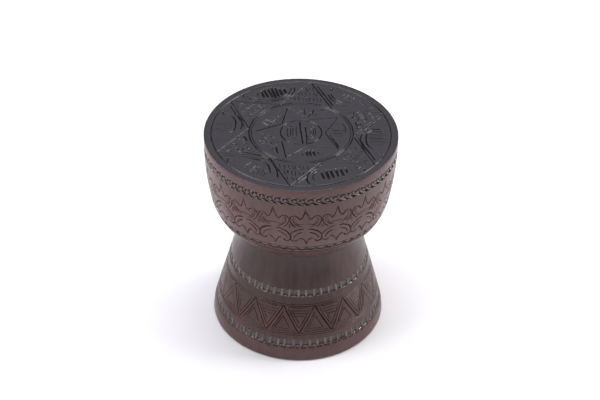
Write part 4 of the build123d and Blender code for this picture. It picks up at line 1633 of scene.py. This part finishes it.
class DRUM_OT_rope_border(bpy.types.Operator):
    """Set the twisted rope round the bowl, under the top."""

    bl_idname = "drum_table.rope_border"
    bl_label = "Set Rope Border"

    def execute(self, context):
        borders = context.scene.drum_table_borders
        middle = (ROPE_LOW + ROPE_HIGH) / 2
        path = resample(curve_through(ROPE_STRAND), 2.4)[0]
        ribbon = strand(path, ROPE_HALF_WIDTH, ROPE_DEPTH - UNIT_SINK)
        bead = dome(*ROPE_BEAD, ROPE_DEPTH - 2 * UNIT_SINK)
        unit = join_units(ribbon, bead)
        piece = add_unit("rope_border", unit, ROPE_DEPTH, 0.0, ROPE_PAINTED_HIGHLIGHT, lambda point: ROPE_PAINTED_SHADE)
        grow(
            piece,
            set_out_ring_tree(),
            count=borders.rope_count,
            radius=(float(bowl_radius(middle)) - ROPE_DEPTH) * MM,
            height=middle * MM,
            first_angle=radians(ROPE_FIRST),
            size_variation=ROPE_VARIATION,
            turn_variation=ROPE_VARIATION,
            angle_variation=0.004,
            hand_wander=borders.hand_wander,
            seed=borders.seed,
            material=finish(burnished_mahogany),
        )
        dress(piece, finish(burnished_mahogany), "carved_mahogany")
        return {"FINISHED"}


DENTIL_LAP = 1.2  # the ribs lap a little where they drift apart
DENTIL_SINK = 0.15  # below the face
DENTIL_PAINTED_HIGHLIGHT = 0.9  # strength of the painted highlight on the ribs' crests
PIT_PAINTED_SHADE, PIT_FADE = 1.1, 1.7  # painted shade by the crest of a rib, and how it falls off towards the next one


def add_dentils(name, low, high, count, borders):
    """Row of upright ribs that leaves scooped pits between them."""
    middle = (low + high) / 2
    slope = float(base_radius(middle + 1) - base_radius(middle - 1)) / 2
    floor = float(base_radius(middle)) - DENTIL_DEPTH
    half_pitch = DENTIL_LAP * pi * floor / count
    rise = DENTIL_DEPTH - DENTIL_SINK
    unit = rib(borders.rib_width / MM / 2, (high - low) / 2, half_pitch, rise, slope)

    # Painted shade in the pits, darkest at the foot of a rib.
    def shade(point):
        return PIT_PAINTED_SHADE * exp(-PIT_FADE * abs(point[1]) / half_pitch)

    piece = add_unit(name, unit, DENTIL_DEPTH, slope, DENTIL_PAINTED_HIGHLIGHT, shade)
    grow(
        piece,
        set_out_ring_tree(),
        count=count,
        radius=floor * MM,
        height=middle * MM,
        size_variation=0.12,
        turn_variation=0.05,
        angle_variation=borders.rib_drift,
        hand_wander=borders.hand_wander,
        seed=borders.seed,
        material=finish(burnished_mahogany),
    )
    dress(piece, finish(burnished_mahogany), "carved_mahogany")


class DRUM_OT_dentil_borders(bpy.types.Operator):
    """Set the ribs of the two dentil borders on the base."""

    bl_idname = "drum_table.dentil_borders"
    bl_label = "Set Dentil Borders"

    def execute(self, context):
        borders = context.scene.drum_table_borders
        upper, lower = BASE.channels
        add_dentils("upper_dentil_ribs", *upper[:2], borders.upper_dentils, borders)
        add_dentils("lower_dentil_ribs", *lower[:2], borders.lower_dentils, borders)
        return {"FINISHED"}


def solid_places(node):
    """Middle, lowest and highest point of each separate solid in a frame node."""
    mesh = frame["nodes"][node].data
    spots = np.array([tuple(vertex.co) for vertex in mesh.vertices]) / MM
    keys = np.unique(np.round(spots, 2), axis=0, return_inverse=True)[1].ravel().tolist()
    parent = list(range(max(keys) + 1))

    def root(item):
        while parent[item] != item:
            parent[item] = parent[parent[item]]
            item = parent[item]
        return item

    for edge in mesh.edges:
        parent[root(keys[edge.vertices[0]])] = root(keys[edge.vertices[1]])
    labels = np.array([root(key) for key in keys])
    groups = []
    for label in np.unique(labels):
        mine = spots[labels == label]
        low, high = mine.min(0), mine.max(0)
        groups.append(((low + high) / 2, low[2], high[2]))
    return sorted(groups, key=lambda group: (round(group[0][0], 1), round(group[0][1], 1)))


# Radii of shank and head, and height of the head.
PANEL_SCREW = (2.0, 4.0, 2.4)
NECK_SCREW = (3.5, 7.5, 4.0)
SCREW_POINT, THREAD_PITCH, THREAD_ROOT = 5.0, 1.8, 0.78


def threaded_outline(length, shank, head, head_height, head_at_top):
    """Outline of a screw with a threaded shank and a countersunk or pan head."""
    body = [(0.0, length), (0.3, length - 0.2)]
    height = length - SCREW_POINT
    while height > head_height + 4:
        body += [(shank, height), (shank * THREAD_ROOT, height - THREAD_PITCH / 2)]
        height -= THREAD_PITCH
    body += [(shank, head_height + 3), (shank, head_height), (head, 0.6), (head, 0.0)]
    body += [(head * 0.35, 0.0), (head * 0.3, 0.9), (0.0, 0.9)]
    if head_at_top:
        return [(radius, length - height) for radius, height in body]
    return list(reversed(body))


def add_screws(name, node, screw, head_at_top):
    """The screws of one frame node, each in the place of its plain solid."""
    groups = solid_places(node)
    _, low, high = groups[0]
    outline = threaded_outline(high - low, *screw, head_at_top)
    pattern = add_piece(f"{name}_pattern", *turned(outline, 14))
    piece = add_piece(name, [(*middle[:2], foot) for middle, foot, _ in groups], [])
    steel = finish(zinc_plated_steel)
    grow(piece, set_out_places_tree(), part=pattern, seed=7, material=steel)
    bpy.data.objects.remove(pattern)
    dress(piece, steel, "zinc_screws", node)


class DRUM_OT_screws(bpy.types.Operator):
    """Turn the screws that hold the battens, the glue blocks and the neck."""

    bl_idname = "drum_table.screws"
    bl_label = "Turn Screws"

    def execute(self, context):
        add_screws("turned_batten_screws", "batten_screws", PANEL_SCREW, False)
        add_screws("turned_glue_block_screws", "glue_block_screws", PANEL_SCREW, False)
        add_screws("turned_neck_screws", "neck_screws", NECK_SCREW, True)
        return {"FINISHED"}


PAD_RADIUS = 9.0
PAD_SPREAD, PAD_ARRIS = 0.5, 0.2  # rounding at the floor and at the foot


class DRUM_OT_felt_pads(bpy.types.Operator):
    """Stick the felt pads under the foot."""

    bl_idname = "drum_table.felt_pads"
    bl_label = "Stick Felt Pads"

    def execute(self, context):
        groups = solid_places("felt_pads")
        spot, low, high = groups[0]
        outline = [(0, low), (PAD_RADIUS - PAD_SPREAD, low), (PAD_RADIUS, low + PAD_SPREAD)]
        outline += [(PAD_RADIUS, high - PAD_ARRIS), (PAD_RADIUS - PAD_ARRIS, high), (0, high)]
        piece = add_piece("pressed_felt_pads", *turned(outline, 32))
        grow(
            piece,
            set_out_ring_tree(),
            count=len(groups),
            radius=hypot(spot[0], spot[1]) * MM,
            first_angle=atan2(spot[1], spot[0]),
            seed=3,
            material=finish(pressed_felt),
        )
        dress(piece, finish(pressed_felt), "felt", "felt_pads")
        return {"FINISHED"}


def merged_copy(node, name, tint):
    """Copy of a frame node as one smooth mesh with sharp edges kept."""
    mesh = frame["nodes"][node].data.copy()
    mesh.name = name
    shape = bmesh.new()
    shape.from_mesh(mesh)
    bmesh.ops.remove_doubles(shape, verts=shape.verts, dist=1e-6)
    shape.to_mesh(mesh)
    shape.free()
    for title in [layer.name for layer in mesh.attributes if "normal" in layer.name]:
        mesh.attributes.remove(mesh.attributes[title])
    add_values(mesh, "tint", np.full(len(mesh.vertices), tint))
    mesh.shade_smooth()
    mesh.set_sharp_from_angle(angle=FRAME_SHARP_ANGLE)
    piece = bpy.data.objects.new(name, mesh)
    bpy.context.scene.collection.objects.link(piece)
    return piece


class DRUM_OT_turn_underside(bpy.types.Operator):
    """Turn the underside of the bowl, from its boards."""

    bl_idname = "drum_table.turn_underside"
    bl_label = "Turn Bowl Underside"

    def execute(self, context):
        random = np.random.default_rng(BOTTOM_SEED)
        for node in BOTTOM_BOARDS:
            piece = merged_copy(node, f"turned_{node}", own_tint(random, 0.45, 0.7))
            dress(piece, finish(satin_lacquered_mahogany), "carved_mahogany", node)
        return {"FINISHED"}


class DRUM_OT_finish_inner_parts(bpy.types.Operator):
    """Finish the plain parts that the frame already shapes."""

    bl_idname = "drum_table.finish_inner_parts"
    bl_label = "Finish Inner Parts"

    def execute(self, context):
        material = finish(sanded_hardwood)
        plain = [
            name
            for name in frame["nodes"]
            if name.startswith(("top_batten_", "glue_block_")) and "screws" not in name
        ]
        for name in plain + ["neck_plug", "centre_dowel"]:
            for place in frame["nodes"][name].material_slots:
                place.material = material
        return {"FINISHED"}


# Name, place, height on the axis that it looks at, width, height, watts and colour.
SOFTBOXES = (
    ("softbox_key", (2.72, 0.0, 1.57), 0.3, 0.7, 0.7, 18, "#fffefc"),
    ("softbox_right", (2.24, 0.68, 2.48), 0.3, 1.2, 1.2, 41, "#fffdfb"),
    ("softbox_left", (-2.15, -0.4, 2.5), 0.3, 1.6, 1.4, 48, "#fbfcff"),
    ("softbox_top", (0.0, 0.3, 3.5), 0.3, 2.0, 2.0, 75, "#fafbff"),
    ("softbox_back", (0.0, 2.4, 2.45), 0.3, 3.2, 1.6, 15, "#f4f0ff"),
    ("softbox_front", (0.0, -2.9, 2.7), 0.3, 2.6, 1.6, 20, "#fafbff"),
    ("softbox_low", (-2.3, -1.5, 0.45), 0.2, 1.0, 0.5, 6, "#fafbff"),
)


def add_softbox(name, place, aim, width, height, power, colour):
    """Area light that looks at a height on the table's axis."""
    light = bpy.data.lights.new(name, "AREA")
    light.shape = "RECTANGLE"
    light.size = width
    light.size_y = height
    light.energy = power
    light.color = linear(colour)[:3]
    box = bpy.data.objects.new(name, light)
    box.location = place
    box.rotation_euler = (Vector((0, 0, aim)) - Vector(place)).to_track_quat("-Z", "Y").to_euler()
    bpy.context.scene.collection.objects.link(box)


CAMERA_TARGET = Vector((0.0004, 0.0, 0.2806))  # what the camera looks at
SENSOR_WIDTH = 36.0
SURROUND_COLOUR, SURROUND_GLOW = "#f6f6fa", 0.15


def add_camera(stage):
    """Camera that looks down on the table from the front."""
    camera = bpy.data.objects.new("studio_camera", bpy.data.cameras.new("studio_camera"))
    camera.data.lens = stage.lens
    camera.data.sensor_width = SENSOR_WIDTH
    forward = Vector((0, cos(stage.tilt), -sin(stage.tilt)))
    up = Vector((0, sin(stage.tilt), cos(stage.tilt)))
    right = Vector((1, 0, 0))
    leaned_right = cos(stage.roll) * right + sin(stage.roll) * up
    leaned_up = cos(stage.roll) * up - sin(stage.roll) * right
    turn = Matrix((leaned_right, leaned_up, -forward)).transposed().to_4x4()
    camera.matrix_world = Matrix.Translation(CAMERA_TARGET - forward * stage.distance) @ turn
    bpy.context.scene.collection.objects.link(camera)
    bpy.context.scene.camera = camera


def add_floor(stage):
    """Round floor, far wider than the view."""
    edge = [(*spot, 0.0) for spot in arc(stage.floor_size / MM, 0, 360)[:-1]]
    faces = [(0, 1 + side, 1 + (side + 1) % len(edge)) for side in range(len(edge))]
    floor = add_piece("studio_floor", [(0.0, 0.0, 0.0), *edge], faces)
    floor.data.materials.append(matt_floor_paint())


class DRUM_OT_stage(bpy.types.Operator):
    """Put the table on a pale studio floor, with soft light and a camera."""

    bl_idname = "drum_table.stage"
    bl_label = "Build Studio"

    def execute(self, context):
        stage = context.scene.drum_table_stage
        add_camera(stage)
        add_floor(stage)
        for softbox in SOFTBOXES:
            add_softbox(*softbox)
        world = bpy.data.worlds.new("studio_surround")
        world.use_nodes = True
        world.node_tree.nodes.clear()
        glow = {"Color": linear(SURROUND_COLOUR), "Strength": SURROUND_GLOW}
        surround = add_node(world.node_tree, "ShaderNodeBackground", glow)
        add_node(world.node_tree, "ShaderNodeOutputWorld", {"Surface": surround.outputs[0]})
        context.scene.world = world
        context.scene.view_settings.view_transform = "Standard"
        return {"FINISHED"}


class DRUM_PT_panel(bpy.types.Panel):
    """Steps of the drum table, in the sidebar."""

    bl_idname = "DRUM_PT_panel"
    bl_label = "Drum Table"
    bl_space_type = "VIEW_3D"
    bl_region_type = "UI"
    bl_category = "Drum Table"

    def draw(self, context):
        scene = context.scene
        for group in (scene.drum_table_carving, scene.drum_table_borders, scene.drum_table_stage):
            for name in group.__annotations__:
                self.layout.prop(group, name)
        for step in STEPS:
            self.layout.operator(step.bl_idname)


STEPS = (
    DRUM_OT_stage,
    DRUM_OT_carve_top,
    DRUM_OT_carve_bowl,
    DRUM_OT_carve_base,
    DRUM_OT_rope_border,
    DRUM_OT_dentil_borders,
    DRUM_OT_turn_underside,
    DRUM_OT_screws,
    DRUM_OT_felt_pads,
    DRUM_OT_finish_inner_parts,
)
CLASSES = (DrumTableCarving, DrumTableBorders, DrumTableStage, *STEPS, DRUM_PT_panel)


def register():
    """Register the settings, the operators and the panel."""
    for kind in CLASSES:
        bpy.utils.register_class(kind)
    bpy.types.Scene.drum_table_carving = bpy.props.PointerProperty(type=DrumTableCarving)
    bpy.types.Scene.drum_table_borders = bpy.props.PointerProperty(type=DrumTableBorders)
    bpy.types.Scene.drum_table_stage = bpy.props.PointerProperty(type=DrumTableStage)


def unregister():
    """Remove what register added."""
    del bpy.types.Scene.drum_table_stage
    del bpy.types.Scene.drum_table_borders
    del bpy.types.Scene.drum_table_carving
    for kind in reversed(CLASSES):
        bpy.utils.unregister_class(kind)


def main():
    """Run every step."""
    register()
    for step in STEPS:
        area, action = step.bl_idname.split(".")
        getattr(getattr(bpy.ops, area), action)()
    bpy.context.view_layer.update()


if __name__ == "__main__":
    main()
